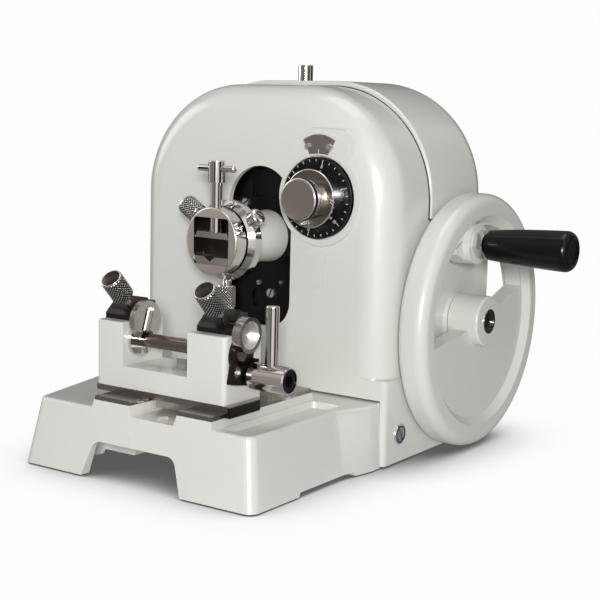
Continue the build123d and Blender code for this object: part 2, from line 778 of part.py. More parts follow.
with BuildPart() as pawl_rocker:
    with BuildSketch(arm_line.offset(-rocker_start - rocker_thick)):
        Circle(10)
        with BuildLine():
            Polyline((-9, 0), (9, 0), (5, ratchet_r + 10), (-5, ratchet_r + 10), close=True)
        make_face()
        Circle(feed_screw_r + running, mode=Mode.SUBTRACT)
    extrude(amount=rocker_thick)
    extrude(box_outline(arm_line.offset(-rocker_start - 1), (-4, ratchet_r + 0.8), (4, ratchet_r + 9)),
            amount=ratchet_thick + 0.5)
keep(pawl_rocker, "pawl_rocker")

# Head: a round clamp on the ball, with a square mouth, a fixed vee jaw below and
# a moving jaw above, and the ring that carries the tilt screws.
with BuildPart() as clamp_head:
    rod(arm_line, head_r, head_back, head_front)
    fillet(clamp_head.faces().sort_by(Axis.Y)[0].edges(), 1.2)
    rod(arm_line, head_r - 2.2, head_back - 1.2, head_back + 0.1)
    rod(arm_line, ring_r, ring_back, head_back - 1.2)
    chamfer(clamp_head.faces().sort_by(Axis.Y)[-1].edges(), 1.2)
    ring_edges = clamp_head.edges().filter_by(GeomType.CIRCLE).group_by(SortBy.RADIUS)[-1]
    chamfer(ring_edges.sort_by(Axis.Y)[0], ring_slope)
    with Locations(ball_spot):
        Sphere(ball_r + slack, mode=Mode.SUBTRACT)
    with BuildSketch(arm_line.offset(head_front - mouth_deep)):
        RectangleRounded(mouth, mouth, 3)
    extrude(amount=mouth_deep + 1, mode=Mode.SUBTRACT)
    rod(tee_line, tee_r + running, arm_z + mouth / 2 - 1, arm_z + head_r + 1, Mode.SUBTRACT)
    for turn in ring_screw_turns:
        rod(ring_screw_line(turn), ring_screw_r + running, ball_r + 3, ring_r + 1, Mode.SUBTRACT)
keep_turned(clamp_head, "clamp_head")

low_jaw_z = arm_z - mouth / 2
with BuildPart() as lower_jaw:
    extrude(outline(front(-head_front + mouth_deep),
                    (arm_x - mouth / 2 + 3.2, low_jaw_z), (arm_x + mouth / 2 - 3.2, low_jaw_z),
                    (arm_x + mouth / 2 - 0.6, low_jaw_z + 3), (arm_x + mouth / 2 - 0.6, low_jaw_z + 6.5),
                    (arm_x + 4, low_jaw_z + 6.5), (arm_x - 2, low_jaw_z + 2.5), (arm_x - 8, low_jaw_z + 6.5),
                    (arm_x - mouth / 2 + 0.6, low_jaw_z + 6.5), (arm_x - mouth / 2 + 0.6, low_jaw_z + 3)),
            amount=mouth_deep - 0.8)
keep_turned(lower_jaw, "lower_jaw")

with BuildPart() as upper_jaw:
    extrude(outline(front(-head_front + mouth_deep - 0.4),
                    (arm_x - mouth / 2 + 0.6, jaw_z - jaw_thick / 2),
                    (arm_x + mouth / 2 - 0.6, jaw_z - jaw_thick / 2),
                    (arm_x + mouth / 2 - 2.5, jaw_z + jaw_thick / 2),
                    (arm_x - mouth / 2 + 2.5, jaw_z + jaw_thick / 2)), amount=mouth_deep - 1.4)
    rod(tee_line, tee_tip_r + 0.35, jaw_z, jaw_z + jaw_thick, Mode.SUBTRACT)
keep_turned(upper_jaw, "upper_jaw")

with BuildPart() as clamp_screw:
    rod(tee_line, tee_tip_r, jaw_z + 0.2, jaw_z + jaw_thick)
    rod(tee_line, tee_r, jaw_z + jaw_thick / 2 + 0.3, tee_low + 1)
    rod(tee_line, tee_head_r, tee_low, tee_high)
    fillet(clamp_screw.faces().sort_by(Axis.Z)[-1].edges(), 1)
    rod(cross_line, cross_r, -tee_head_r - 1, tee_head_r + 1, Mode.SUBTRACT)
keep_turned(clamp_screw, "clamp_screw")

with BuildPart() as cross_pin:
    rod(cross_line, cross_r, -cross_half, cross_half)
    fillet(cross_pin.edges().filter_by(GeomType.CIRCLE), cross_r * 0.7)
keep_turned(cross_pin, "cross_pin")


def knurled_screw(line, shank_r, start, knob_start, knob_end, knob_radius, flutes=22):
    """A thumbscrew along a line: a plain shank and a knob with straight knurls."""
    with BuildSketch(line.offset(knob_start)) as knob:
        Circle(knob_radius)
        with PolarLocations(knob_radius, flutes):
            Circle(0.5, mode=Mode.SUBTRACT)
    with BuildPart() as made:
        extrude(knob.sketch, amount=knob_end - knob_start)
        rod(line, knob_radius - 1.2, knob_end, knob_end + 0.8)
        rod(line, shank_r, start, knob_start)
    return made.part


ring_screws = [("tilt_screw_left", 150, 8.5, 17.0), ("tilt_screw_low", 270, 8.0, 19.0)]
for name, turn, radius, length in ring_screws:
    with BuildPart() as tilt_screw:
        add(knurled_screw(ring_screw_line(turn), ring_screw_r, ball_r + 3.4, ring_r + 4,
                          ring_r + 4 + length, radius))
    keep_turned(tilt_screw, name)

with BuildPart() as tilt_screw_right:
    line = ring_screw_line(ring_screw_turns[2])
    rod(line, ring_screw_r, ball_r + 3.4, ring_r + 1)
    rod(line, 7.2, ring_r + 0.6, ring_r + 9)
    fillet(tilt_screw_right.faces().sort_by(Axis(line.origin, line.z_dir))[-1].edges(), 3.5)
keep_turned(tilt_screw_right, "tilt_screw_right")

# Drive: the shaft in its two bushes, the crank inside and the handwheel outside.
with BuildPart() as drive_shaft:
    rod(shaft_line, shaft_r, disc_in, shaft_out)
keep(drive_shaft, "drive_shaft")

pedestal_in = disc_in + disc_thick + 8
pedestal_out = pedestal_in + 14
pedestal_foot = boss_r * 2
with BuildPart() as bearing_pedestal:
    with BuildSketch(side(pedestal_in)):
        with Locations((shaft_back, shaft_z)):
            Circle(boss_r)
        with BuildLine():
            Polyline((shaft_back - boss_r, shaft_z), (shaft_back - boss_r * 1.5, floor_plate),
                     (shaft_back + boss_r * 1.5, floor_plate), (shaft_back + boss_r, shaft_z), close=True)
        make_face()
    extrude(amount=pedestal_out - pedestal_in)
    extrude(box_outline(level(floor_plate), (pedestal_in - 6, shaft_back - pedestal_foot),
                              (pedestal_out + 14, shaft_back + pedestal_foot)),
            amount=9)
    rod(shaft_line, bush_r, pedestal_in, pedestal_out, Mode.SUBTRACT)
keep(bearing_pedestal, "bearing_pedestal")

dial_line = front(0).shift_origin(spot(dial_x, 0, dial_z))
with BuildPart() as bronze_bushes:
    for low, high in ((boss_in, boss_out), (pedestal_in, pedestal_out)):
        rod(shaft_line, bush_r, low, high)
        rod(shaft_line, shaft_r + running, low, high, Mode.SUBTRACT)
    rod(dial_line, dial_bush_r, -wall - 2, 1)
    rod(dial_line, dial_shaft_r + running, -wall - 2, 1, Mode.SUBTRACT)
keep(bronze_bushes, "bronze_bushes")

pin_line = shaft_line.shift_origin(spot(0, shaft_back + sqrt(crank_r**2 - crank_rise**2), pin_rest_z))
roller_in = yoke_out + roller_gap
with BuildPart() as crank_disc:
    rod(shaft_line, disc_r, disc_in, disc_in + disc_thick)
    chamfer(crank_disc.edges().filter_by(GeomType.CIRCLE), 1)
    rod(shaft_line, shaft_r, disc_in, disc_in + disc_thick, Mode.SUBTRACT)
    rod(pin_line, 5, roller_in, disc_in)
keep(crank_disc, "crank_disc")

with BuildPart() as crank_roller:
    rod(pin_line, roller_r, roller_in, disc_in - slack)
    rod(pin_line, 5 + running, roller_in, disc_in - slack, Mode.SUBTRACT)
keep(crank_roller, "crank_roller")

# Handwheel: a heavy rim, closed below by a web and open above, where one lobe
# carries the handle.
wheel_line = Plane(origin=spot(0, shaft_back, shaft_z), z_dir=(1, 0, 0),
                   x_dir=(0, cos(radians(wheel_tilt)), sin(radians(wheel_tilt))))
rim_section = Plane(origin=spot(0, shaft_back, shaft_z), x_dir=(1, 0, 0), z_dir=(0, -1, 0))
with BuildPart() as handwheel:
    with BuildSketch(rim_section):
        with BuildLine():
            Polyline((wheel_in, lip_r - 6), (wheel_in, wheel_r), (wheel_out, wheel_r), (wheel_out, lip_r),
                     (web_out, window_r + 2), (web_out, window_r), (web_in, window_r),
                     (web_in, window_r + 2.5), close=True)
        make_face()
        fillet(vertices().group_by(Axis.Y)[-1].sort_by(Axis.X)[0], 5)
        fillet(vertices().group_by(Axis.Y)[-1].sort_by(Axis.X)[-1], 9.5)
    revolve(axis=Axis(shaft_line.origin, (1, 0, 0)))
    with BuildSketch(wheel_line.offset(web_in)):
        Circle(window_r + 1)
        with BuildLine():
            Polyline((0, -web_drop), (-web_reach, web_reach * tan(radians(web_left)) - web_drop),
                     (-web_reach, -web_reach), (web_reach, -web_reach),
                     (web_reach, web_reach * tan(radians(web_right)) - web_drop), close=True)
        make_face(mode=Mode.INTERSECT)
        Circle(hub_r)
        with Locations((0, handle_reach)):
            Circle(lobe_r)
        with BuildLine():
            Polyline((lobe_r, handle_reach), (lobe_r, handle_reach + 12), (-shelf_reach, handle_reach + 5),
                     (-shelf_reach, handle_reach), (-6, handle_reach - lobe_r + 1), close=True)
        make_face()
    extrude(amount=web_out - web_in)
    rod(wheel_line.shift_origin(handle_spot), lobe_r, web_out, lobe_out)
    rod(shaft_line, hub_r, hub_in, hub_out)
    fillet(handwheel.faces().filter_by(Axis.X).sort_by(Axis.X)[-1].edges().group_by(SortBy.RADIUS)[-1], 2)
    rod(shaft_line, shaft_r, hub_in, shaft_out, Mode.SUBTRACT)
    rod(shaft_line, hub_ring_r, shaft_out, hub_out + 1, Mode.SUBTRACT)
    rod(handle_line, spindle_r, web_in - 1, lobe_out + 1, Mode.SUBTRACT)
keep(handwheel, "handwheel")

with BuildPart() as hub_ring:
    rod(shaft_line, hub_ring_r, shaft_out, hub_out + 1)
    rod(shaft_line, hub_bolt_r, shaft_out, hub_out + 1, Mode.SUBTRACT)
keep(hub_ring, "hub_ring")

with BuildPart() as hub_bolt:
    rod(shaft_line, hub_bolt_r, shaft_out, hub_out - 1)
keep(hub_bolt, "hub_bolt")

# Handle: a spindle with a hexagon collar and a free turning grip.
with BuildPart() as handle_spindle:
    rod(handle_line, spindle_r, web_in + 4, grip_end - 6)
    with BuildSketch(handle_line.offset(lobe_out)):
        RegularPolygon(nut_size / 2, 6, major_radius=False, rotation=12)
    extrude(amount=nut_thick)
    hexagon = handle_spindle.faces().filter_by(Axis.X).group_by(SortBy.AREA)[-1].sort_by(Axis.X)[-1]
    chamfer(hexagon.edges().filter_by(GeomType.LINE), 0.8)
keep(handle_spindle, "handle_spindle")

bore = spindle_r + running
with BuildPart() as handle_grip:
    with BuildSketch(Plane(origin=handle_line.origin, x_dir=(1, 0, 0), z_dir=(0, -1, 0))):
        with BuildLine():
            Polyline((grip_end - 5.5, 0), (grip_end - 5.5, bore), (grip_neck, bore),
                     (grip_neck, grip_small_r - 2.5), (grip_start, grip_small_r - 2.5),
                     (grip_start, grip_small_r))
            Spline((grip_start, grip_small_r), (grip_start + 26, grip_big_r - 1.9),
                   (grip_start + 52, grip_big_r - 0.5), (grip_end - 6, grip_big_r))
            Spline((grip_end - 6, grip_big_r), (grip_end - 1.8, grip_big_r - 1.4), (grip_end, grip_big_r - 4.6),
                   tangents=((1, 0), (0, -1)))
            Polyline((grip_end, grip_big_r - 4.6), (grip_end - 1.2, grip_big_r - 6), (grip_end - 1.2, 0),
                     (grip_end - 5.5, 0))
        make_face()
    revolve(axis=Axis(handle_line.origin, (1, 0, 0)))
keep(handle_grip, "handle_grip")

# Thickness dial: a numbered disc, a collar with set screws and a knob on one
# shaft, with the cam that limits the feed behind the housing's face.
with BuildPart() as dial_disc:
    rod(dial_line, dial_r, 1.4, dial_front)
    chamfer(dial_disc.faces().sort_by(Axis.Y)[0].edges(), 1.5)
    rod(dial_line, dial_shaft_r, 1.4, dial_front, Mode.SUBTRACT)
keep(dial_disc, "dial_disc")

with BuildPart() as dial_collar:
    rod(dial_line, collar_r, dial_front, collar_front)
    fillet(dial_collar.faces().sort_by(Axis.Y)[0].edges(), 1)
    rod(dial_line, dial_shaft_r, dial_front, collar_front, Mode.SUBTRACT)
keep(dial_collar, "dial_collar")

with BuildPart() as dial_knob:
    rod(dial_line, knob_r, collar_front, knob_front)
    fillet(dial_knob.faces().sort_by(Axis.Y)[0].edges(), 2.5)
    rod(dial_line, dial_shaft_r, collar_front, knob_front - 3, Mode.SUBTRACT)
keep(dial_knob, "dial_knob")

with BuildPart() as dial_shaft:
    rod(dial_line, dial_shaft_r, -(post_back + 14), knob_front - 3)
keep(dial_shaft, "dial_shaft")

with BuildPart() as thickness_cam:
    with BuildSketch(dial_line.offset(-(post_back + 10))):
        with Locations((4, 0)):
            Circle(14)
        Circle(dial_shaft_r, mode=Mode.SUBTRACT)
    extrude(amount=6)
keep(thickness_cam, "thickness_cam")

# Knife block: two pillars on a slide, painted like the base.
with BuildPart() as knife_block:
    with BuildSketch(level(block_low)):
        with BuildLine():
            Polyline((block_left, -block_front), (block_right, -block_front), (block_right, -block_back),
                     (block_left, -block_back), close=True)
        make_face()
        fillet(vertices(), 4)
    extrude(amount=block_high - block_low)
    fillet(knife_block.faces().sort_by(Axis.Z)[-1].edges(), 1.6)
    extrude(box_outline(front(-block_back + 1), (gap_left, gap_low), (gap_right, block_high + 1)),
            amount=block_front - block_back + 2, mode=Mode.SUBTRACT)
    rod(bar_line, bar_r, gap_left - 6, block_right + 1, Mode.SUBTRACT)
    rod(seat_line, trunnion_r + running, block_left - 1, block_right + 1, Mode.SUBTRACT)
    rod(nut_line, stud_r, block_low, gap_low, Mode.SUBTRACT)
keep(knife_block, "knife_block")

sole_top = block_low
sole_bottom = bed_z + rail_thick
with BuildPart() as sole_plate:
    extrude(box_outline(level(sole_bottom), (sole_left, -block_front - 1), (sole_right, -block_back - 0.5)),
            amount=sole_top - sole_bottom)
    extrude(box_outline(level(sole_bottom), (trough_left + 1, -block_front + 8), (trough_right - 1, -block_back - 6)),
            amount=trough_z + 3 - sole_bottom)
    rod(nut_line, stud_r, trough_z, sole_top, Mode.SUBTRACT)
keep(sole_plate, "sole_plate")

with BuildPart() as block_gib:
    extrude(outline(front(-block_back - 12.5), (rails[1][1] + way_slack, bed_z + way_slack),
                    (sole_right + 2, bed_z + way_slack), (sole_right + 2, sole_top),
                    (sole_right, sole_top), (sole_right, sole_bottom), (rails[1][1] + way_slack, sole_bottom)),
            amount=block_front - block_back - 9.5)
keep(block_gib, "block_gib")

# Knife clamps: each is a half-round trunnion in the pillar's trough with a bracket
# on it, slotted for the knife, and a leaning thumbscrew through the bracket.
with BuildPart() as knife_brackets:
    for left, trunnion_end in ((bracket_left, seat_left - seat_thick),
                               (bracket_left + bracket_span, seat_right_in)):
        top = bracket_high
        extrude(outline(side(left), (-bracket_front, bracket_low), (-bracket_front, bracket_low + 0.6),
                        on_face(19.5, 0), (-105, top), (-bracket_back, top - 3),
                        (-bracket_back, bracket_low + 0.2), (-112, bracket_low - 1)),
                amount=bracket_wide)
        rod(seat_line, trunnion_r, left, trunnion_end)
        extrude(outline(side(left - 1), on_face(9.5, slot_wall), on_face(15, slot_wall + slot_wide),
                        on_face(40, slot_wall + slot_wide), on_face(40, slot_wall)),
                amount=bracket_wide + 2, mode=Mode.SUBTRACT)
        rod(knife_screw_line(left), knife_screw_r + running, -slot_wall - 1, 1, Mode.SUBTRACT)
keep(knife_brackets, "knife_brackets")

for name, left in (("knife_screw_left", bracket_left), ("knife_screw_right", bracket_left + bracket_span)):
    with BuildPart() as knife_screw:
        add(knurled_screw(knife_screw_line(left), knife_screw_r, -slot_wall - 0.2, knife_knob_low,
                          knife_knob_low + knife_knob_long, knife_knob_r))
    keep(knife_screw, name)

# Seats: the discs at the trunnions' ends that close the clamps to the right.
with BuildPart() as seat_disc:
    rod(seat_line, seat_r, seat_left - seat_thick, seat_left)
    rod(bar_line, bar_r + tilt_room, seat_left - seat_thick, seat_left, Mode.SUBTRACT)
    with BuildSketch(seat_line.offset(seat_left - 2.5)):
        Rectangle(9, 21, rotation=-18)
    extrude(amount=4, mode=Mode.SUBTRACT)
keep(seat_disc, "seat_disc")

with BuildPart() as seat_jaw:
    with BuildSketch(seat_line.offset(seat_left - 2.5)):
        Rectangle(6, 17, rotation=-18)
    extrude(amount=4)
    chamfer(seat_jaw.faces().sort_by(Axis.X)[-1].edges(), 0.8)
keep(seat_jaw, "seat_jaw")

with BuildPart() as seat_ring:
    rod(seat_line, seat_ring_r, seat_right_in, seat_right)
    rod(seat_line, seat_bore_r, seat_right - 5, seat_right + 1, Mode.SUBTRACT)
keep(seat_ring, "seat_ring")

# Tie bar: it runs through both pillars, with a chromed collar at the left one.
with BuildPart() as tie_bar:
    rod(bar_line, bar_r, gap_left - 6, block_right + 1.9)
keep(tie_bar, "tie_bar")

with BuildPart() as tie_collar:
    rod(bar_line, bar_collar_r, gap_left, seat_left - seat_thick - 0.4)
    rod(bar_line, bar_r, gap_left, seat_left, Mode.SUBTRACT)
    rod(seat_line, trunnion_r + slack, gap_left, seat_left, Mode.SUBTRACT)
keep(tie_collar, "tie_collar")

# Side lever: its barrel turns on a stud in the black bracket on the block.
with BuildPart() as lever_bracket:
    rod(bar_line, 14.5, block_right, block_right + 1.9)
    rod(seat_line, trunnion_r + slack, block_right, block_right + 3, Mode.SUBTRACT)
    extrude(outline(side(block_right), (-134, 84.5), (-118, 82), (-103, 82), (-103, 100), (-109, 96),
                    (-126, 96), (-131, 100)), amount=6.5)
    rod(bar_line, bar_r, block_right, block_right + 1.9, Mode.SUBTRACT)
    rod(lever_line, lever_stud_r + running, block_right, block_right + 8, Mode.SUBTRACT)
keep(lever_bracket, "lever_bracket")

with BuildPart() as lever_barrel:
    rod(lever_line, lever_r, lever_in, lever_out)
    chamfer(lever_barrel.edges().filter_by(GeomType.CIRCLE), 0.8)
    rod(lever_line, lever_stud_r, block_right, lever_in)
    rod(lever_rod_line, lever_rod_r, lever_z, lever_z + lever_r + 1, Mode.SUBTRACT)
    rod(lever_line, lever_r - lever_rim, lever_out - 6, lever_out + 1, Mode.SUBTRACT)
keep(lever_barrel, "lever_barrel")

with BuildPart() as lever_socket:
    rod(lever_line, lever_r - lever_rim, lever_out - 6, lever_out - 0.8)
    with BuildSketch(lever_line.offset(lever_out - 4.5)):
        RegularPolygon(5, 6)
    extrude(amount=5, mode=Mode.SUBTRACT)
keep(lever_socket, "lever_socket")

with BuildPart() as lever_rod:
    rod(lever_rod_line, lever_rod_r, lever_z, lever_rod_top)
    fillet(lever_rod.faces().sort_by(Axis.Z)[-1].edges(), 1.2)
keep(lever_rod, "lever_rod")

# Block clamp: the chromed nut with a short lever that holds the block on its rails.
with BuildPart() as block_clamp:
    rod(nut_line, stud_r - running, trough_z + 4, gap_low + 4)
    with BuildSketch(nut_line.offset(gap_low + way_slack)):
        RegularPolygon(8.5, 6)
    extrude(amount=9)
    with BuildSketch(nut_line.offset(gap_low + 3)):
        with Locations(Location((-12, 8, 0), (0, 0, -34))):
            SlotOverall(34, 8)
    extrude(amount=5)
keep(block_clamp, "block_clamp")
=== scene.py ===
# %% [markdown]
# # Dressing a rotary microtome
# The solids of this laboratory instrument come from a CAD model: a cast stand, a
# round housing, a handwheel and a small clamp that carries a wax block past a
# knife. This lesson gives them their finishes, adds the fine pieces that a CAD
# model leaves out, and lights them as a studio would.

import json
import math

import bpy
import numpy as np
from mathutils import Matrix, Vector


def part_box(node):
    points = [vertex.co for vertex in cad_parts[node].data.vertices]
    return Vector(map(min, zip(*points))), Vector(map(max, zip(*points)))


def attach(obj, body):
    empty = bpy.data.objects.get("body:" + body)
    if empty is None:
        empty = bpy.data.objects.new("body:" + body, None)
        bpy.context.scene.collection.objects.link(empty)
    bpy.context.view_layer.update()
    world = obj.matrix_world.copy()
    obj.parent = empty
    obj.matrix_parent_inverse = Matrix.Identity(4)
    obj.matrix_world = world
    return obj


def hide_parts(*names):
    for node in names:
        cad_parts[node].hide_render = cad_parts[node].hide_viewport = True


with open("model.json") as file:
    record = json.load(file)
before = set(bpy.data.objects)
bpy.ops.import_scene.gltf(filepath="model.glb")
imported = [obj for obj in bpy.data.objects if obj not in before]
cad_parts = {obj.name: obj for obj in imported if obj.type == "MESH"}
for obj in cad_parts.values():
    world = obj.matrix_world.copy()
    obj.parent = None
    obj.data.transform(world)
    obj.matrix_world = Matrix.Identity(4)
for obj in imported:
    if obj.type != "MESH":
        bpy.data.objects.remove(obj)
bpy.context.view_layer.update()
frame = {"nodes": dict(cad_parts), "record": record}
nodes = frame["nodes"]
print("pieces in the frame:", len(nodes))

# %% [markdown]
# ## Where things are
# The CAD model counts millimetres from the middle of its footprint. The stand's
# own middle and the housing's face are off that point, so two small numbers turn
# a place measured on the stand into a place in the scene, in metres. The clamp
# stands five degrees off square, so its pieces are turned about the clamp's own
# upright line.

# %% Places on the stand
STAND_X = -0.0455
FACE_Y = -0.0303
CLAMP_LINE = (-5.5, -37.0)
CLAMP_TURN = math.radians(-5.0)
BODY_MIDDLE, BODY_HALF, BODY_TOP, BODY_CORNER = -10.0, 130.0, 305.0, 95.0


def place(across, back, up):
    """A point measured on the stand in millimetres, as a numpy point in metres."""
    return np.array([STAND_X + across / 1000, FACE_Y + back / 1000, up / 1000])


def turned(vector, about=(0.0, 0.0)):
    """A stand vector or point turned with the clamp: x' = x cos a - y sin a, y' = x sin a + y cos a."""
    x, y = vector[0] - about[0], vector[1] - about[1]
    cos, sin = math.cos(CLAMP_TURN), math.sin(CLAMP_TURN)
    return (about[0] + x * cos - y * sin, about[1] + x * sin + y * cos, vector[2])


# %% [markdown]
# ## Smooth faces on the CAD solids
# The imported solids are loose triangles. A Weld modifier joins them, smooth
# shading rounds the curved faces, and an Edge Split keeps real edges crisp. The
# modifiers leave the solids' own vertices alone.

# %% Smooth the solids
def soften(piece, angle=26.0):
    """Weld, smooth and split one imported solid by the angle between its faces."""
    piece.data.polygons.foreach_set("use_smooth", np.ones(len(piece.data.polygons), bool))
    weld = piece.modifiers.new("weld", "WELD")
    weld.merge_threshold = 2e-6
    split = piece.modifiers.new("edges", "EDGE_SPLIT")
    split.split_angle = math.radians(angle)


for piece in nodes.values():
    soften(piece)

# %% [markdown]
# ## Helpers for materials
# Every finish starts from the Principled shader. Uniform values go straight into
# its sockets; patterns that change over the surface come from small node groups
# that several finishes share.

# %% Material helpers
def new_group(name, inputs, outputs):
    """An empty shader node group with inputs {name: default} and named float outputs."""
    group = bpy.data.node_groups.new(name, "ShaderNodeTree")
    for label, value in inputs.items():
        kind = "NodeSocketVector" if isinstance(value, tuple) else "NodeSocketFloat"
        socket = group.interface.new_socket(label, in_out="INPUT", socket_type=kind)
        socket.default_value = value
    for label in outputs:
        group.interface.new_socket(label, in_out="OUTPUT", socket_type="NodeSocketFloat")
    source = group.nodes.new("NodeGroupInput")
    sink = group.nodes.new("NodeGroupOutput")
    return group, source, sink


def feed(tree, socket, value):
    """Sets a socket to a number or tuple, or links it to another socket."""
    if isinstance(value, (int, float, tuple)):
        socket.default_value = value
    else:
        tree.links.new(value, socket)


def math_node(tree, kind, first, second=0.5):
    """One Math node whose inputs are numbers or sockets; returns its output."""
    node = tree.nodes.new("ShaderNodeMath")
    node.operation = kind
    feed(tree, node.inputs[0], first)
    feed(tree, node.inputs[1], second)
    return node.outputs[0]


def vector_node(tree, kind, first, second=(0.0, 0.0, 0.0), out="Vector"):
    """One Vector Math node whose inputs are tuples or sockets; returns the named output."""
    node = tree.nodes.new("ShaderNodeVectorMath")
    node.operation = kind
    feed(tree, node.inputs[0], first)
    feed(tree, node.inputs[1], second)
    return node.outputs[out]


def ramp(tree, value, low, high, start=0.0, end=1.0):
    """A smooth step: start below low, end above high, eased between; returns its output."""
    node = tree.nodes.new("ShaderNodeMapRange")
    node.interpolation_type = "SMOOTHSTEP"
    ends = {"From Min": low, "From Max": high, "To Min": start, "To Max": end}
    for label, amount in {"Value": value, **ends}.items():
        feed(tree, node.inputs[label], amount)
    return node.outputs["Result"]


def noise_node(tree, vector, scale, detail=3.0):
    """A Noise texture over a vector socket; returns its factor."""
    node = tree.nodes.new("ShaderNodeTexNoise")
    tree.links.new(vector, node.inputs["Vector"])
    feed(tree, node.inputs["Scale"], scale)
    node.inputs["Detail"].default_value = detail
    return node.outputs["Fac"]


def blend_color(tree, mask, first, second):
    """A colour between two others by a mask; each is a tuple or a socket."""
    mix = tree.nodes.new("ShaderNodeMix")
    mix.data_type = "RGBA"
    feed(tree, mix.inputs["Factor"], mask)
    for socket, value in ((mix.inputs[6], first), (mix.inputs[7], second)):
        feed(tree, socket, (*value, 1.0) if isinstance(value, tuple) else value)
    return mix.outputs[2]


def blend_value(tree, mask, first, second):
    """A number between two others by a mask; each is a number or a socket."""
    mix = tree.nodes.new("ShaderNodeMix")
    feed(tree, mix.inputs["Factor"], mask)
    feed(tree, mix.inputs[2], first)
    feed(tree, mix.inputs[3], second)
    return mix.outputs[0]


def new_material(name, color, roughness, metallic=0.0, coat=0.0, coat_rough=0.05):
    """A Principled material with plain values; returns (material, tree, shader)."""
    material = bpy.data.materials.new(name)
    material.use_nodes = True
    tree = material.node_tree
    shader = tree.nodes["Principled BSDF"]
    shader.inputs["Base Color"].default_value = (*color, 1.0)
    shader.inputs["Roughness"].default_value = roughness
    shader.inputs["Metallic"].default_value = metallic
    shader.inputs["Coat Weight"].default_value = coat
    shader.inputs["Coat Roughness"].default_value = coat_rough
    return material, tree, shader


def add_group(tree, group, **values):
    """Places a node group in a material and sets its inputs by name."""
    node = tree.nodes.new("ShaderNodeGroup")
    node.node_tree = group
    for label, value in values.items():
        feed(tree, node.inputs[label.replace("_", " ")], value)
    return node


def add_bump(tree, shader, height, strength, distance):
    """Feeds a height into the shader's Normal through a Bump node."""
    bump = tree.nodes.new("ShaderNodeBump")
    bump.inputs["Strength"].default_value = strength
    bump.inputs["Distance"].default_value = distance
    tree.links.new(height, bump.inputs["Height"])
    tree.links.new(bump.outputs["Normal"], shader.inputs["Normal"])
    return bump


# %% [markdown]
# ## Shared surface effects
# Stove enamel flows out almost flat but keeps a faint orange peel, and castings
# under it are never quite even. Ground steel has fine lines along one direction.
# A turned piece shows different finishes at different distances along its own
# axis: a faced end, a polished side, a dark groove. The third group measures a
# point along such a line and away from it, so one material can tell them apart.

# %% Node groups
def enamel_skin():
    """Orange peel as a height, and a slow unevenness of tone as a mask."""
    group, source, sink = new_group("enamel skin", {"Peel Scale": 420.0, "Cloud Scale": 9.0},
                                    ["Peel", "Cloud"])
    where = group.nodes.new("ShaderNodeTexCoord").outputs["Object"]
    for label, detail, out in (("Peel Scale", 2.0, "Peel"), ("Cloud Scale", 3.0, "Cloud")):
        group.links.new(noise_node(group, where, source.outputs[label], detail), sink.inputs[out])
    return group


def ground_lines():
    """Fine grinding lines: noise squeezed along one axis, as a height and a mask."""
    group, source, sink = new_group("ground lines", {"Stretch": (40.0, 2600.0, 2600.0)},
                                    ["Lines", "Smudge"])
    where = group.nodes.new("ShaderNodeTexCoord").outputs["Object"]
    squeezed = vector_node(group, "MULTIPLY", where, source.outputs["Stretch"])
    group.links.new(noise_node(group, squeezed, 1.0, 3.0), sink.inputs["Lines"])
    group.links.new(noise_node(group, where, 60.0, 4.0), sink.inputs["Smudge"])
    return group


def turned_zone():
    """For p: along = (p - origin) . axis; mask = low < along < high; radius = |p - origin - along axis|."""
    group, source, sink = new_group(
        "zone of a turned piece",
        {"Origin": (0.0, 0.0, 0.0), "Axis": (0.0, -1.0, 0.0), "Low": 0.0, "High": 1.0}, ["Mask", "Radius"])
    where = group.nodes.new("ShaderNodeTexCoord").outputs["Object"]
    off = vector_node(group, "SUBTRACT", where, source.outputs["Origin"])
    along = vector_node(group, "DOT_PRODUCT", off, source.outputs["Axis"], "Value")
    foot = group.nodes.new("ShaderNodeVectorMath")
    foot.operation = "SCALE"
    group.links.new(source.outputs["Axis"], foot.inputs[0])
    group.links.new(along, foot.inputs["Scale"])
    away = vector_node(group, "SUBTRACT", off, foot.outputs["Vector"])
    group.links.new(vector_node(group, "LENGTH", away, out="Value"), sink.inputs["Radius"])
    above = math_node(group, "GREATER_THAN", along, source.outputs["Low"])
    below = math_node(group, "LESS_THAN", along, source.outputs["High"])
    group.links.new(math_node(group, "MULTIPLY", above, below), sink.inputs["Mask"])
    return group


SKIN = enamel_skin()
LINES = ground_lines()
ZONE = turned_zone()

# %% [markdown]
# ## The finishes
# One function builds each family: enamel over castings, bright plate, ground
# steel, blackened steel and moulded plastic. The values are this instrument's.

# %% Build the finishes
def enamel(name, first, second, rough=0.28, coat=0.35, sheen=0.5):
    """Stove enamel: a slightly uneven tone, faint orange peel and a clear gloss."""
    material, tree, shader = new_material(name, first, rough, coat=coat, coat_rough=0.08)
    shader.inputs["Specular IOR Level"].default_value = sheen
    skin = add_group(tree, SKIN)
    cloud = skin.outputs["Cloud"]
    tree.links.new(blend_color(tree, cloud, first, second), shader.inputs["Base Color"])
    tree.links.new(blend_value(tree, cloud, rough - 0.04, rough + 0.06), shader.inputs["Roughness"])
    add_bump(tree, shader, skin.outputs["Peel"], 0.16, 0.0002)
    return material


def turned_grain(tree, shader, amount):
    """Fine rings from the lathe stretch highlights into wedges: anisotropy round the piece's depth axis."""
    round_axis = tree.nodes.new("ShaderNodeTangent")
    round_axis.direction_type = "RADIAL"
    round_axis.axis = "Y"
    tree.links.new(round_axis.outputs["Tangent"], shader.inputs["Tangent"])
    shader.inputs["Anisotropic"].default_value = amount


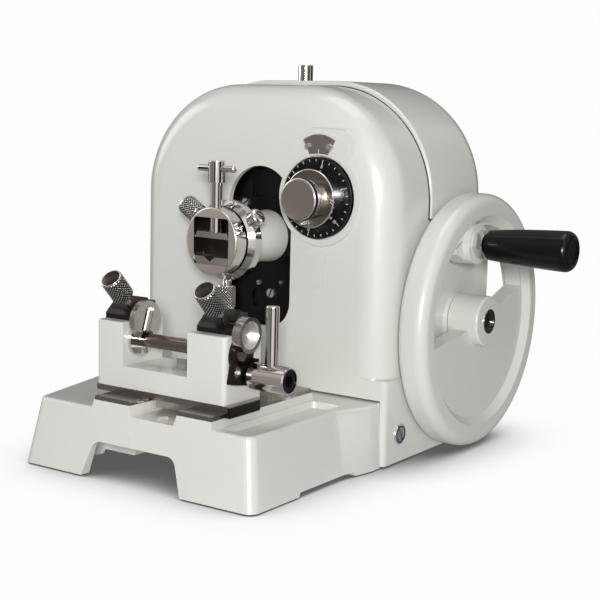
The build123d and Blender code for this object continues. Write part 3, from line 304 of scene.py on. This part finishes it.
def metal(name, color, rough, stretch, line_depth=0.15, spread=0.1):
    """Bare or plated metal with grinding lines along the axis of least stretch."""
    material, tree, shader = new_material(name, color, rough, metallic=1.0)
    lines = add_group(tree, LINES, Stretch=stretch)
    polish = blend_value(tree, lines.outputs["Smudge"], rough - spread / 2, rough + spread / 2)
    tree.links.new(polish, shader.inputs["Roughness"])
    add_bump(tree, shader, lines.outputs["Lines"], line_depth, 0.00005)
    return material


def zoned_metal(name, color, rough, origin, axis, zones, grain=0.0):
    """A turned metal piece with zones of other tone and polish: (low, high, radius, colour, rough) in mm."""
    material, tree, shader = new_material(name, color, rough, metallic=1.0)
    tone, polish, radius = color, rough, None
    for low, high, inside, zone_color, zone_rough in zones:
        line = {"Origin": tuple(origin), "Axis": tuple(axis)}
        zone = add_group(tree, ZONE, **line, Low=low / 1000, High=high / 1000)
        radius = zone.outputs["Radius"]
        within = math_node(tree, "LESS_THAN", radius, inside / 1000)
        mask = math_node(tree, "MULTIPLY", zone.outputs["Mask"], within)
        tone = blend_color(tree, mask, tone, zone_color)
        polish = blend_value(tree, mask, polish, zone_rough)
    tree.links.new(tone, shader.inputs["Base Color"])
    tree.links.new(polish, shader.inputs["Roughness"])
    rings = tree.nodes.new("ShaderNodeTexNoise")
    rings.noise_dimensions = "1D"
    rings.inputs["Scale"].default_value = 6000.0
    tree.links.new(radius, rings.inputs["W"])
    add_bump(tree, shader, rings.outputs["Fac"], 0.08, 0.00003)
    if grain:
        turned_grain(tree, shader, grain)
    return material


def plastic(name, color, rough, coat):
    """Moulded gloss plastic with faint flow marks."""
    material, tree, shader = new_material(name, color, rough, coat=coat)
    shader.inputs["Specular IOR Level"].default_value = 0.25
    skin = add_group(tree, SKIN, Peel_Scale=160.0)
    cloud = skin.outputs["Cloud"]
    tree.links.new(blend_value(tree, cloud, rough - 0.03, rough + 0.05), shader.inputs["Roughness"])
    add_bump(tree, shader, skin.outputs["Peel"], 0.06, 0.0002)
    return material


EVEN = (900.0, 900.0, 900.0)
finishes = {
    "enamel": enamel("cream enamel", (0.64, 0.645, 0.60), (0.60, 0.605, 0.565)),
    "black_enamel": enamel("black enamel", (0.003, 0.003, 0.004), (0.005, 0.005, 0.006), 0.20, 0.0, 0.16),
    "chrome": metal("bright chrome", (0.66, 0.65, 0.635), 0.09, EVEN, 0.02, 0.05),
    "bright_screws": metal("bright screw", (0.74, 0.72, 0.70), 0.18, EVEN, 0.03),
    "knurled_chrome": metal("knurled chrome", (0.78, 0.77, 0.75), 0.16, EVEN, 0.03),
    "ground_steel": metal("ground steel", (0.50, 0.47, 0.44), 0.28, (30.0, 2400.0, 2400.0)),
    "mechanism_iron": metal("machined iron", (0.20, 0.20, 0.21), 0.45, (300.0, 300.0, 2000.0)),
    "blackened_iron": metal("blackened iron", (0.03, 0.03, 0.032), 0.38, (60.0, 1800.0, 1800.0), 0.12),
    "brass": metal("turned brass", (0.62, 0.45, 0.20), 0.30, (1200.0, 1200.0, 1200.0)),
    "black_steel": metal("blackened steel", (0.050, 0.046, 0.045), 0.28, (60.0, 1800.0, 1800.0), 0.12),
    "black_plastic": plastic("black plastic", (0.003, 0.003, 0.004), 0.20, 0.0),
    "dial_face": enamel("dial black", (0.003, 0.003, 0.004), (0.005, 0.005, 0.006), 0.18, 0.0, 0.22),
    "rubber": plastic("pad rubber", (0.02, 0.02, 0.02), 0.6, 0.0),
}
# Painted shade: the knurl's colour darkens with the depth of its grooves, read from the 'groove' attribute.
knurl_tree = finishes["knurled_chrome"].node_tree
groove = knurl_tree.nodes.new("ShaderNodeAttribute")
groove.attribute_name = "groove"
groove_shade = ramp(knurl_tree, groove.outputs["Fac"], 0.08, 0.36)
knurl_color = blend_color(knurl_tree, groove_shade, (0.74, 0.73, 0.71), (0.03, 0.027, 0.026))
knurl_tree.links.new(knurl_color, knurl_tree.nodes["Principled BSDF"].inputs["Base Color"])
rail_steel = metal("worn rail steel", (0.30, 0.275, 0.25), 0.26, (30.0, 2400.0, 2400.0), 0.2, 0.16)
warm_steel = metal("index plate steel", (0.40, 0.36, 0.335), 0.34, (2200.0, 2200.0, 60.0), 0.2)
# Painted reflection: the polished tie bar's colour is darkened to the dark warm tone it mirrors.
bar_steel = metal("polished bar with painted dark reflection", (0.24, 0.205, 0.18), 0.10, EVEN, 0.02, 0.05)
jaw_steel = metal("polished jaw", (0.92, 0.88, 0.85), 0.14, EVEN, 0.04, 0.08)

SATIN = (0.80, 0.72, 0.66)
head_front = turned((0.0, -1.0, 0.0))
# Painted shade: the head's surfaces inside its outer skin, 10 to 25.2 mm forward, such as the mouth, are coloured
# nearly black.
head_metal = zoned_metal("clamp head chrome", (0.60, 0.585, 0.57), 0.09, place(*CLAMP_LINE, 179.0), head_front,
                         [(25.2, 26.5, 45.0, SATIN, 0.36),
                          (10.0, 25.2, 26.3, (0.05, 0.045, 0.042), 0.3)])
dial_center = place(54.9, 0.0, 215.0)
# Painted reflection: the knob's side band from 28.6 to 31.6 mm is coloured nearly black, as the dark it mirrors.
knob_metal = zoned_metal("dial knob chrome", (0.78, 0.76, 0.74), 0.09, dial_center, (0.0, -1.0, 0.0),
                         [(32.0, 33.5, 15.9, (0.47, 0.42, 0.385), 0.33),
                          (28.6, 31.6, 30.0, (0.03, 0.03, 0.03), 0.12)])
# Painted reflection: the collar's polished front is coloured dark brown, the tone of the dark surroundings it
# mirrors.
collar_metal = zoned_metal("dial collar chrome", (0.76, 0.73, 0.71), 0.08, dial_center, (0.0, -1.0, 0.0),
                           [(16.6, 17.6, 22.7, (0.24, 0.205, 0.185), 0.16)], grain=0.7)
ring_low, ring_high = (np.array(corner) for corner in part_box("seat_ring"))
ACROSS = (1.0, 0.0, 0.0)
ring_metal = zoned_metal("seat ring steel", (0.50, 0.47, 0.45), 0.16, (ring_low + ring_high) / 2, ACROSS,
                         [(-20.0, 3.0, 11.6, (0.80, 0.79, 0.78), 0.30)])
barrel_low, barrel_high = (np.array(corner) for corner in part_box("lever_barrel"))
barrel_metal = zoned_metal("lever barrel chrome", (0.72, 0.68, 0.65), 0.09, (barrel_low + barrel_high) / 2, ACROSS,
                           [(10.0, 20.65, 9.1, (0.006, 0.006, 0.006), 0.3)])
plug_low, plug_high = (np.array(corner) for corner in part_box("side_plug"))
plug_r = 500 * (plug_high[2] - plug_low[2])
# Painted shadow: a dark ring between the side plug's bright rim and its grey-blue middle.
plug_metal = zoned_metal("side plug steel", (0.80, 0.80, 0.80), 0.12, (plug_low + plug_high) / 2, ACROSS,
                         [(-50.0, 50.0, 0.84 * plug_r, (0.10, 0.105, 0.115), 0.2),
                          (-50.0, 50.0, 0.66 * plug_r, (0.50, 0.53, 0.57), 0.25)])
print("finishes:", len(bpy.data.materials), "side plug radius in mm:", round(plug_r, 2))

# %% Put the finishes on the solids
special = {"clamp_head": head_metal, "dial_knob": knob_metal, "dial_collar": collar_metal,
           "bed_rails": rail_steel, "sole_plate": rail_steel, "index_plate": warm_steel,
           "tie_bar": bar_steel, "lower_jaw": jaw_steel, "upper_jaw": jaw_steel, "seat_ring": ring_metal,
           "lever_barrel": barrel_metal, "side_plug": plug_metal}
dial_tree = finishes["dial_face"].node_tree
turned_grain(dial_tree, dial_tree.nodes["Principled BSDF"], 0.6)
slot_of = {part["node"]: part["material_slot"] for part in frame["record"]["subparts"]}
for name, piece in nodes.items():
    piece.data.materials.clear()
    piece.data.materials.append(special.get(name, finishes[slot_of[name]]))

# %% [markdown]
# ## Fine pieces as surfaces over a grid
# A turned screw is a grid of points: one row for each step along its axis, one
# column for each step around it. The same function turns any such grid into a
# mesh, so each piece below only has to say where its points are.

# %% Grid pieces
def square_to(axis):
    """Two unit vectors square to an axis and to each other, by cross products."""
    guess = np.array((0.0, 1.0, 0.0)) if abs(axis[1]) < 0.8 else np.array((1.0, 0.0, 0.0))
    first = np.cross(axis, guess)
    first /= np.linalg.norm(first)
    return first, np.cross(axis, first)


def mesh_piece(name, points, faces, body, materials, which=None):
    """One object from points and faces, smooth, on a body and with its material slots."""
    mesh = bpy.data.meshes.new(name)
    mesh.from_pydata(points.reshape(-1, 3).tolist(), [], faces.tolist())
    for material in materials:
        mesh.materials.append(material)
    mesh.polygons.foreach_set("use_smooth", np.ones(len(faces), bool))
    if which is not None:
        mesh.polygons.foreach_set("material_index", which.astype(np.int32))
    mesh.update()
    made = bpy.data.objects.new(name, mesh)
    bpy.context.scene.collection.objects.link(made)
    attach(made, body)
    return made


def lathe_piece(name, origin, axis, along, radius, body, materials, bands=None, depth=None):
    """P(s, t) = origin + along(s) axis + radius(s, t) (cos t u + sin t v); depth, if any, goes with the points."""
    rows, columns = radius.shape
    first, second = square_to(np.array(axis))
    angle = np.linspace(0.0, 2 * math.pi, columns, endpoint=False)
    ring = np.cos(angle)[:, None] * first + np.sin(angle)[:, None] * second
    points = origin + (along[:, None, None] * np.array(axis) + radius[:, :, None] * ring) / 1000
    row, column = np.meshgrid(np.arange(rows - 1), np.arange(columns), indexing="ij")
    after = (column + 1) % columns
    near, far = row * columns, (row + 1) * columns
    faces = np.stack((near + column, near + after, far + after, far + column), -1).reshape(-1, 4)
    which = None if bands is None else np.repeat(bands, columns)
    made = mesh_piece(name, points, faces, body, materials, which)
    if depth is not None:
        groove = made.data.attributes.new("groove", "FLOAT", "POINT")
        groove.data.foreach_set("value", depth.ravel().astype(np.float32))
    return made


# %% [markdown]
# ## Knurled thumbscrews
# The knobs are rolled between two hardened wheels, whose teeth lean left and
# right. Where both sets of grooves cross, diamonds are left standing. The formula
# does the same: two waves that lean either way, and the lower of them is the
# surface. The shanks get a fine thread, a wave that climbs one pitch each turn.
# The end of each knob is a dark polished cap behind a bright rim. The knurl's
# grooves carry painted shade, darker the deeper they sink.

# %% Knurled screws
def knurled_screw(node, body, origin, axis, shank_r, shank_low, knob_r, knob_low, knob_high):
    """A knob on a threaded shank, along an axis.

    Knob: r = R - d (1 - sqrt(min(|sin u|, |sin v|))), with u, v = n (t +/- s / R) / 2.
    Shank: r = R - h |2 (s / p - t / 2 pi mod 1) - 1|.
    """
    diamonds, depth, pitch, thread = 21, 0.85, 0.8, 0.22
    origin = place(*origin)
    knurl_low, knurl_high = knob_low + 1.0, knob_high - 1.4
    along = np.linspace(knurl_low, knurl_high, int((knurl_high - knurl_low) / 0.17))
    angle = np.linspace(0.0, 2 * math.pi, diamonds * 10, endpoint=False)
    lean = along[:, None] / knob_r
    leaning = [np.abs(np.sin(diamonds * (angle + side * lean) / 2)) for side in (1, -1)]
    waves = np.minimum(*leaning)
    sunk = 1 - np.sqrt(waves)
    knurl = knob_r - depth * sunk
    rear = [(knob_low, shank_r), (knob_low, knob_r * 0.86),
            (knob_low + 0.2, knob_r * 0.92), (knob_low + 0.8, knob_r - depth)]
    rim = [(knob_high - 1.2, knob_r - depth), (knob_high - 0.3, knob_r * 0.93),
           (knob_high, knob_r * 0.89), (knob_high - 0.1, knob_r * 0.85)]
    turns = np.linspace(1.0, 0.0, 9)
    cap = [(knob_high - 0.1 + 0.9 * (1 - share ** 2), knob_r * 0.84 * share + 0.0001) for share in turns]
    profile = np.array(rear), np.array(rim), np.array(cap)
    plain = [np.repeat(part[:, 1:2], len(angle), 1) for part in profile]
    stations = np.concatenate([profile[0][:, 0], along, profile[1][:, 0], profile[2][:, 0]])
    radius = np.concatenate([plain[0], knurl, plain[1], plain[2]])
    bands = np.concatenate([np.zeros(len(rear) + len(along) + len(rim) - 1), np.ones(len(cap))])
    # The depth of each knurl groove is kept on the points for the painted shade in the grooves.
    groove = np.zeros(radius.shape)
    groove[len(rear):len(rear) + len(along)] = sunk
    knob = lathe_piece(node + "_knob", origin, axis, stations, radius, body,
                       [finishes["knurled_chrome"], finishes["black_steel"]], bands, groove)
    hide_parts(node)
    steps = np.arange(shank_low, knob_low + 0.3, pitch / 6)
    around = np.linspace(0.0, 1.0, 48, endpoint=False)
    crest = shank_r - thread * np.abs(2 * ((steps[:, None] / pitch - around) % 1.0) - 1)
    crest[0] *= 0.8
    lathe_piece(node + "_shank", origin, axis, steps, crest, body, [finishes["chrome"]])
    print(node, "knob", radius.shape, "shank", crest.shape)


lean_back = math.radians(46.5)
knife_screws = (("knife_screw_left", "left_knife_screw", -61.0), ("knife_screw_right", "right_knife_screw", 31.0))
for node, body, left in knife_screws:
    knurled_screw(node, body, (left + 15.8, -117.715, 131.411), (0.0, -math.cos(lean_back), math.sin(lean_back)),
                  2.5, -5.2, 9.0, 8.5, 30.0)

ring_center = turned((-5.5, -43.5, 179.0), CLAMP_LINE)
for node, body, turn, knob_r, knob_high in (("tilt_screw_left", "left_tilt_screw", 150.0, 8.5, 53.5),
                                            ("tilt_screw_low", "low_tilt_screw", 270.0, 8.0, 55.5)):
    axis = turned((math.cos(math.radians(turn)), 0.0, math.sin(math.radians(turn))))
    knurled_screw(node, body, ring_center, axis, 3.0, 15.4, knob_r, 36.5, knob_high)

# %% [markdown]
# ## Marks on the dial and the plate
# The thickness dial is engraved and filled with white paint: thirty lines round
# the disc, every fifth one longer and numbered, and one line on the fan-shaped
# plate to read them against. Each mark is a flat ribbon a few hundredths of a
# millimetre proud of the face, as filled paint stands. Screw slots are dark
# ribbons of the same kind.

# %% Marks
def ribbons(name, strokes, back, body, material):
    """Flat quads in a plane of constant depth; a stroke is ((x, z), (x, z), width) in stand millimetres."""
    points = []
    for start, end, width in strokes:
        start, end = np.array(start, float), np.array(end, float)
        side = np.array([start[1] - end[1], end[0] - start[0]])
        side *= width / 2 / np.linalg.norm(side)
        for corner in (start + side, start - side, end - side, end + side):
            points.append(place(corner[0], back, corner[1]))
    faces = np.arange(len(points)).reshape(-1, 4)
    return mesh_piece(name, np.array(points), faces, body, [material])


def digit_strokes(text, center, turn, height, width):
    """Plain numbers from straight bars, upright along a turned direction about a centre."""
    bars = {"t": ((0, 1), (1, 1)), "m": ((0, 0.5), (1, 0.5)), "b": ((0, 0), (1, 0)), "L": ((0, 0.5), (0, 1)),
            "l": ((0, 0), (0, 0.5)), "R": ((1, 0.5), (1, 1)), "r": ((1, 0), (1, 0.5))}
    shapes = {"0": "tbLlRr", "1": "Rr", "2": "tRmlb", "5": "tLmrb"}
    across = np.array([math.cos(turn), -math.sin(turn)])
    up = np.array([math.sin(turn), math.cos(turn)])
    step = height * 0.85
    strokes = []
    for index, letter in enumerate(text):
        shift = (index - (len(text) - 1) / 2) * step
        for bar in shapes[letter]:
            ends = [across * (shift + (u - 0.5) * height * 0.5) + up * (v - 0.5) * height for u, v in bars[bar]]
            strokes.append((np.array(center) + ends[0], np.array(center) + ends[1], width))
    return strokes


dial = np.array([54.9, 215.0])
marks = []
for count in range(30):
    turn = math.radians(12.0 * count)
    outward = np.array([math.sin(turn), math.cos(turn)])
    long = count % 5 == 1
    marks.append((dial + outward * (27.9 if long else 29.3), dial + outward * 31.2, 0.5))
    if long:
        marks += digit_strokes(str(5 * (count // 5)), dial + outward * 26.0, turn, 2.3, 0.38)
white = plastic("white mark paint", (0.62, 0.62, 0.60), 0.5, 0.0)
ribbons("dial_marks", marks, -7.54, "dial", white)
ribbons("index_mark", [((54.9, 250.3), (54.9, 253.8), 0.55)], -4.53, "stand", white)

# Painted shade: screw slots, set screw holes and the seam are flat dark ribbons standing in for the shade inside
# them.
dark = plastic("shadow in a slot", (0.01, 0.01, 0.01), 0.6, 0.0)
slots = []
cover_screws = ((-26.5, 206.0, 4.2, 35.0), (1.6, 131.0, 4.6, 70.0), (-11.0, 139.0, 2.6, 15.0), (12.0, 141.0, 2.2, 120.0))
for across, up, radius, turn in cover_screws:
    reach = 0.86 * radius * np.array([math.cos(math.radians(turn)), math.sin(math.radians(turn))])
    slots.append((np.array([across, up]) - reach, np.array([across, up]) + reach, radius * 0.26))
ribbons("cover_screw_slots", slots, 7.22, "carriage", dark)

# %% [markdown]
# ## Set screws and the painted seam shadow
# Two small set screws with hexagon sockets hold the collar. Each is a short
# turned ring whose hole is a disc of painted shade. The dark seam between housing
# and hood is painted shadow: one black arch-shaped band lying in the gap, a few
# hundredths of a millimetre off the enamel.

# %% Set screws and painted seam shadow
for across, radius in ((71.4, 2.1), (77.2, 1.4)):
    steps = np.array([-0.6, 0.35, 0.45, 0.45, 0.1, 0.1])
    widths = np.array([1.0, 1.0, 0.9, 0.5, 0.48, 0.001]) * radius
    lathe_piece("collar_set_screw_%d" % (10 * radius), place(across, -17.0, 213.4), (0.0, -1.0, 0.0), steps,
                np.repeat(widths[:, None], 24, 1), "dial", [finishes["bright_screws"], dark],
                np.array([0, 0, 0, 1, 1]))


def arch_band(name, half, top, corner, low, front, rear, body, material):
    """A band along an arch: upright, quarter circle, level, quarter circle, upright; between two depths."""
    sweep = np.linspace(0.0, math.pi / 2, 25)
    left = np.stack([-half + corner - corner * np.cos(sweep), top - corner + corner * np.sin(sweep)], 1)
    arch = np.concatenate([[(-half, low)], left, (left * (-1, 1))[::-1], [(half, low)]])
    points = np.array([[place(BODY_MIDDLE + x, depth, z) for depth in (front, rear)] for x, z in arch])
    first = 2 * np.arange(len(arch) - 1)
    faces = np.stack([first, first + 1, first + 3, first + 2], 1)
    return mesh_piece(name, points, faces, body, [material])


# Painted shadow along the seam: a black band lying in the gap between housing and hood.
SEAM_OUT = 0.06
SILL, SEAM_FRONT, SEAM_REAR = 198.0, 62.5, 65.0
arch_band("seam_shadow_band", BODY_HALF + SEAM_OUT, BODY_TOP + SEAM_OUT, BODY_CORNER + SEAM_OUT, SILL, SEAM_FRONT, SEAM_REAR,
          "stand", dark)

# %% [markdown]
# ## Floor and background
# The photograph was taken on white. To the camera the floor is white, and it
# darkens only where the stand closes it off from the light: under the arch and
# along the feet. Shiny pieces see a grey floor close by and, further out, a dark
# room with a few bright bands, which is what gives chrome its contrast.

# %% Floor
WHITE = 0.982


def floor_material():
    """White to the camera, darker where the stand closes it off; far out, glossy rays pass through to the room."""
    material = bpy.data.materials.new("white floor")
    material.use_nodes = True
    tree = material.node_tree
    tree.nodes.remove(tree.nodes["Principled BSDF"])
    plain = tree.nodes.new("ShaderNodeBsdfDiffuse")
    plain.inputs["Color"].default_value = (0.80, 0.80, 0.80, 1.0)
    glow = tree.nodes.new("ShaderNodeEmission")
    open_sky = tree.nodes.new("ShaderNodeAmbientOcclusion")
    open_sky.inputs["Distance"].default_value = 0.075
    shade = ramp(tree, open_sky.outputs["AO"], 0.10, 0.97, 0.10, WHITE)
    rays = tree.nodes.new("ShaderNodeLightPath")
    glossy = rays.outputs["Is Glossy Ray"]
    tree.links.new(blend_value(tree, glossy, shade, 0.30), glow.inputs["Strength"])
    seen = math_node(tree, "MAXIMUM", rays.outputs["Is Camera Ray"], rays.outputs["Is Transmission Ray"])
    seen = math_node(tree, "MAXIMUM", seen, glossy)
    far = vector_node(tree, "LENGTH", tree.nodes.new("ShaderNodeTexCoord").outputs["Object"], out="Value")
    through = math_node(tree, "MULTIPLY", glossy, ramp(tree, far, 0.40, 0.75))
    clear = tree.nodes.new("ShaderNodeBsdfTransparent")
    surface = plain.outputs[0]
    for share, layer in ((seen, glow), (through, clear)):
        mix = tree.nodes.new("ShaderNodeMixShader")
        tree.links.new(share, mix.inputs["Fac"])
        tree.links.new(surface, mix.inputs[1])
        tree.links.new(layer.outputs[0], mix.inputs[2])
        surface = mix.outputs[0]
    tree.links.new(surface, tree.nodes["Material Output"].inputs["Surface"])
    return material


corners = np.array([(-6, -6, 0), (6, -6, 0), (6, 6, 0), (-6, 6, 0)], float)
floor_mesh = bpy.data.meshes.new("floor")
floor_mesh.from_pydata(corners.tolist(), [], [(0, 1, 2, 3)])
floor_mesh.materials.append(floor_material())
floor = bpy.data.objects.new("floor", floor_mesh)
bpy.context.scene.collection.objects.link(floor)

# %% World
def window(tree, direction, toward, wide):
    """A bright upright band of the room: a smooth step on the cosine of the turn from its middle."""
    cosine = vector_node(tree, "DOT_PRODUCT", direction, (math.cos(toward), math.sin(toward), 0.0), "Value")
    return ramp(tree, cosine, math.cos(wide), math.cos(wide * 0.55))


world = bpy.data.worlds.new("studio")
bpy.context.scene.world = world
world.use_nodes = True
sky = world.node_tree
background = sky.nodes["Background"]
direction = sky.nodes.new("ShaderNodeTexCoord").outputs["Generated"]
height = vector_node(sky, "DOT_PRODUCT", direction, (0.0, 0.0, 1.0), "Value")
room = math_node(sky, "ADD", 0.03, ramp(sky, height, 0.10, 0.75, 0.0, 0.30))
flat = vector_node(sky, "MULTIPLY", direction, (1.0, 1.0, 0.0))
level = vector_node(sky, "NORMALIZE", flat)
WINDOWS = ((315.0, 30.0, 0.85), (262.0, 9.0, 0.35), (196.0, 16.0, 0.75), (150.0, 9.0, 0.35),
           (22.0, 13.0, 0.60), (78.0, 8.0, 0.40), (234.0, 15.0, 0.30))
for toward, wide, bright in WINDOWS:
    band = math_node(sky, "MULTIPLY", window(sky, level, math.radians(toward), math.radians(wide)), bright)
    room = math_node(sky, "ADD", room, band)
path = sky.nodes.new("ShaderNodeLightPath")
seen = math_node(sky, "MAXIMUM", path.outputs["Is Camera Ray"], path.outputs["Is Transmission Ray"])
WARM = (1.0, 0.95, 0.91)
sky.links.new(blend_color(sky, path.outputs["Is Glossy Ray"], (1.0, 1.0, 1.0), WARM), background.inputs["Color"])
strength = blend_value(sky, path.outputs["Is Glossy Ray"], 0.185, room)
strength = blend_value(sky, seen, strength, WHITE)
sky.links.new(strength, background.inputs["Strength"])

# %% [markdown]
# ## Lamps
# The main lamp stands just right of the camera and a little above it, so each
# shadow shows as a thin dark line on the left of what throws it. Weaker ones on
# the left and above keep the rest readable.

# %% Lamps
def softbox(name, spot, target, size, power):
    """A square area lamp at a spot, aimed at a target, both in metres."""
    data = bpy.data.lights.new(name, "AREA")
    data.shape = "SQUARE"
    data.size = size
    data.energy = power
    lamp = bpy.data.objects.new(name, data)
    aim = np.array(spot, float) - np.array(target, float)
    aim /= np.linalg.norm(aim)
    sideways = np.cross((0, 0, 1), aim)
    sideways /= np.linalg.norm(sideways)
    matrix = np.eye(4)
    matrix[:3, :3] = np.stack([sideways, np.cross(aim, sideways), aim], 1)
    matrix[:3, 3] = spot
    lamp.matrix_world = Matrix(matrix.tolist())
    bpy.context.scene.collection.objects.link(lamp)
    return lamp


softbox("key lamp", (1.27, -1.83, 0.58), (0, 0, 0.15), size=0.30, power=43)
softbox("left fill", (-2.0, -0.6, 0.9), (0, 0, 0.15), size=1.1, power=10)
softbox("top lamp", (0.1, 0.2, 2.2), (0, 0, 0.1), size=1.2, power=11.5)

# %% [markdown]
# ## Camera
# The camera was solved from the photograph: its place, the three angles and the
# long lens. Its axes are worked out from the angles and written as a matrix.

# %% Camera
def photo_camera(spot, yaw, pitch, roll, lens):
    """A camera from its place, its turn round the object, its drop and its roll."""
    yaw, pitch, roll = (math.radians(v) for v in (yaw, pitch, roll))
    back = np.array([math.sin(yaw) * math.cos(pitch), -math.cos(yaw) * math.cos(pitch), math.sin(pitch)])
    right = np.cross(-back, (0, 0, 1))
    right /= np.linalg.norm(right)
    up = np.cross(back, right)
    turned_right = right * math.cos(roll) + up * math.sin(roll)
    raised = -right * math.sin(roll) + up * math.cos(roll)
    data = bpy.data.cameras.new("photo camera")
    data.lens = lens
    data.sensor_width = 36.0
    camera = bpy.data.objects.new("photo camera", data)
    matrix = np.eye(4)
    matrix[:3, :3] = np.stack([turned_right, raised, back], 1)
    matrix[:3, 3] = spot
    camera.matrix_world = Matrix(matrix.tolist())
    bpy.context.scene.collection.objects.link(camera)
    bpy.context.scene.camera = camera
    return camera


photo_camera(place(639.62, -880.47, 288.19), yaw=34.374, pitch=8.453, roll=1.384, lens=78.52)
bpy.context.scene.view_settings.view_transform = "Standard"
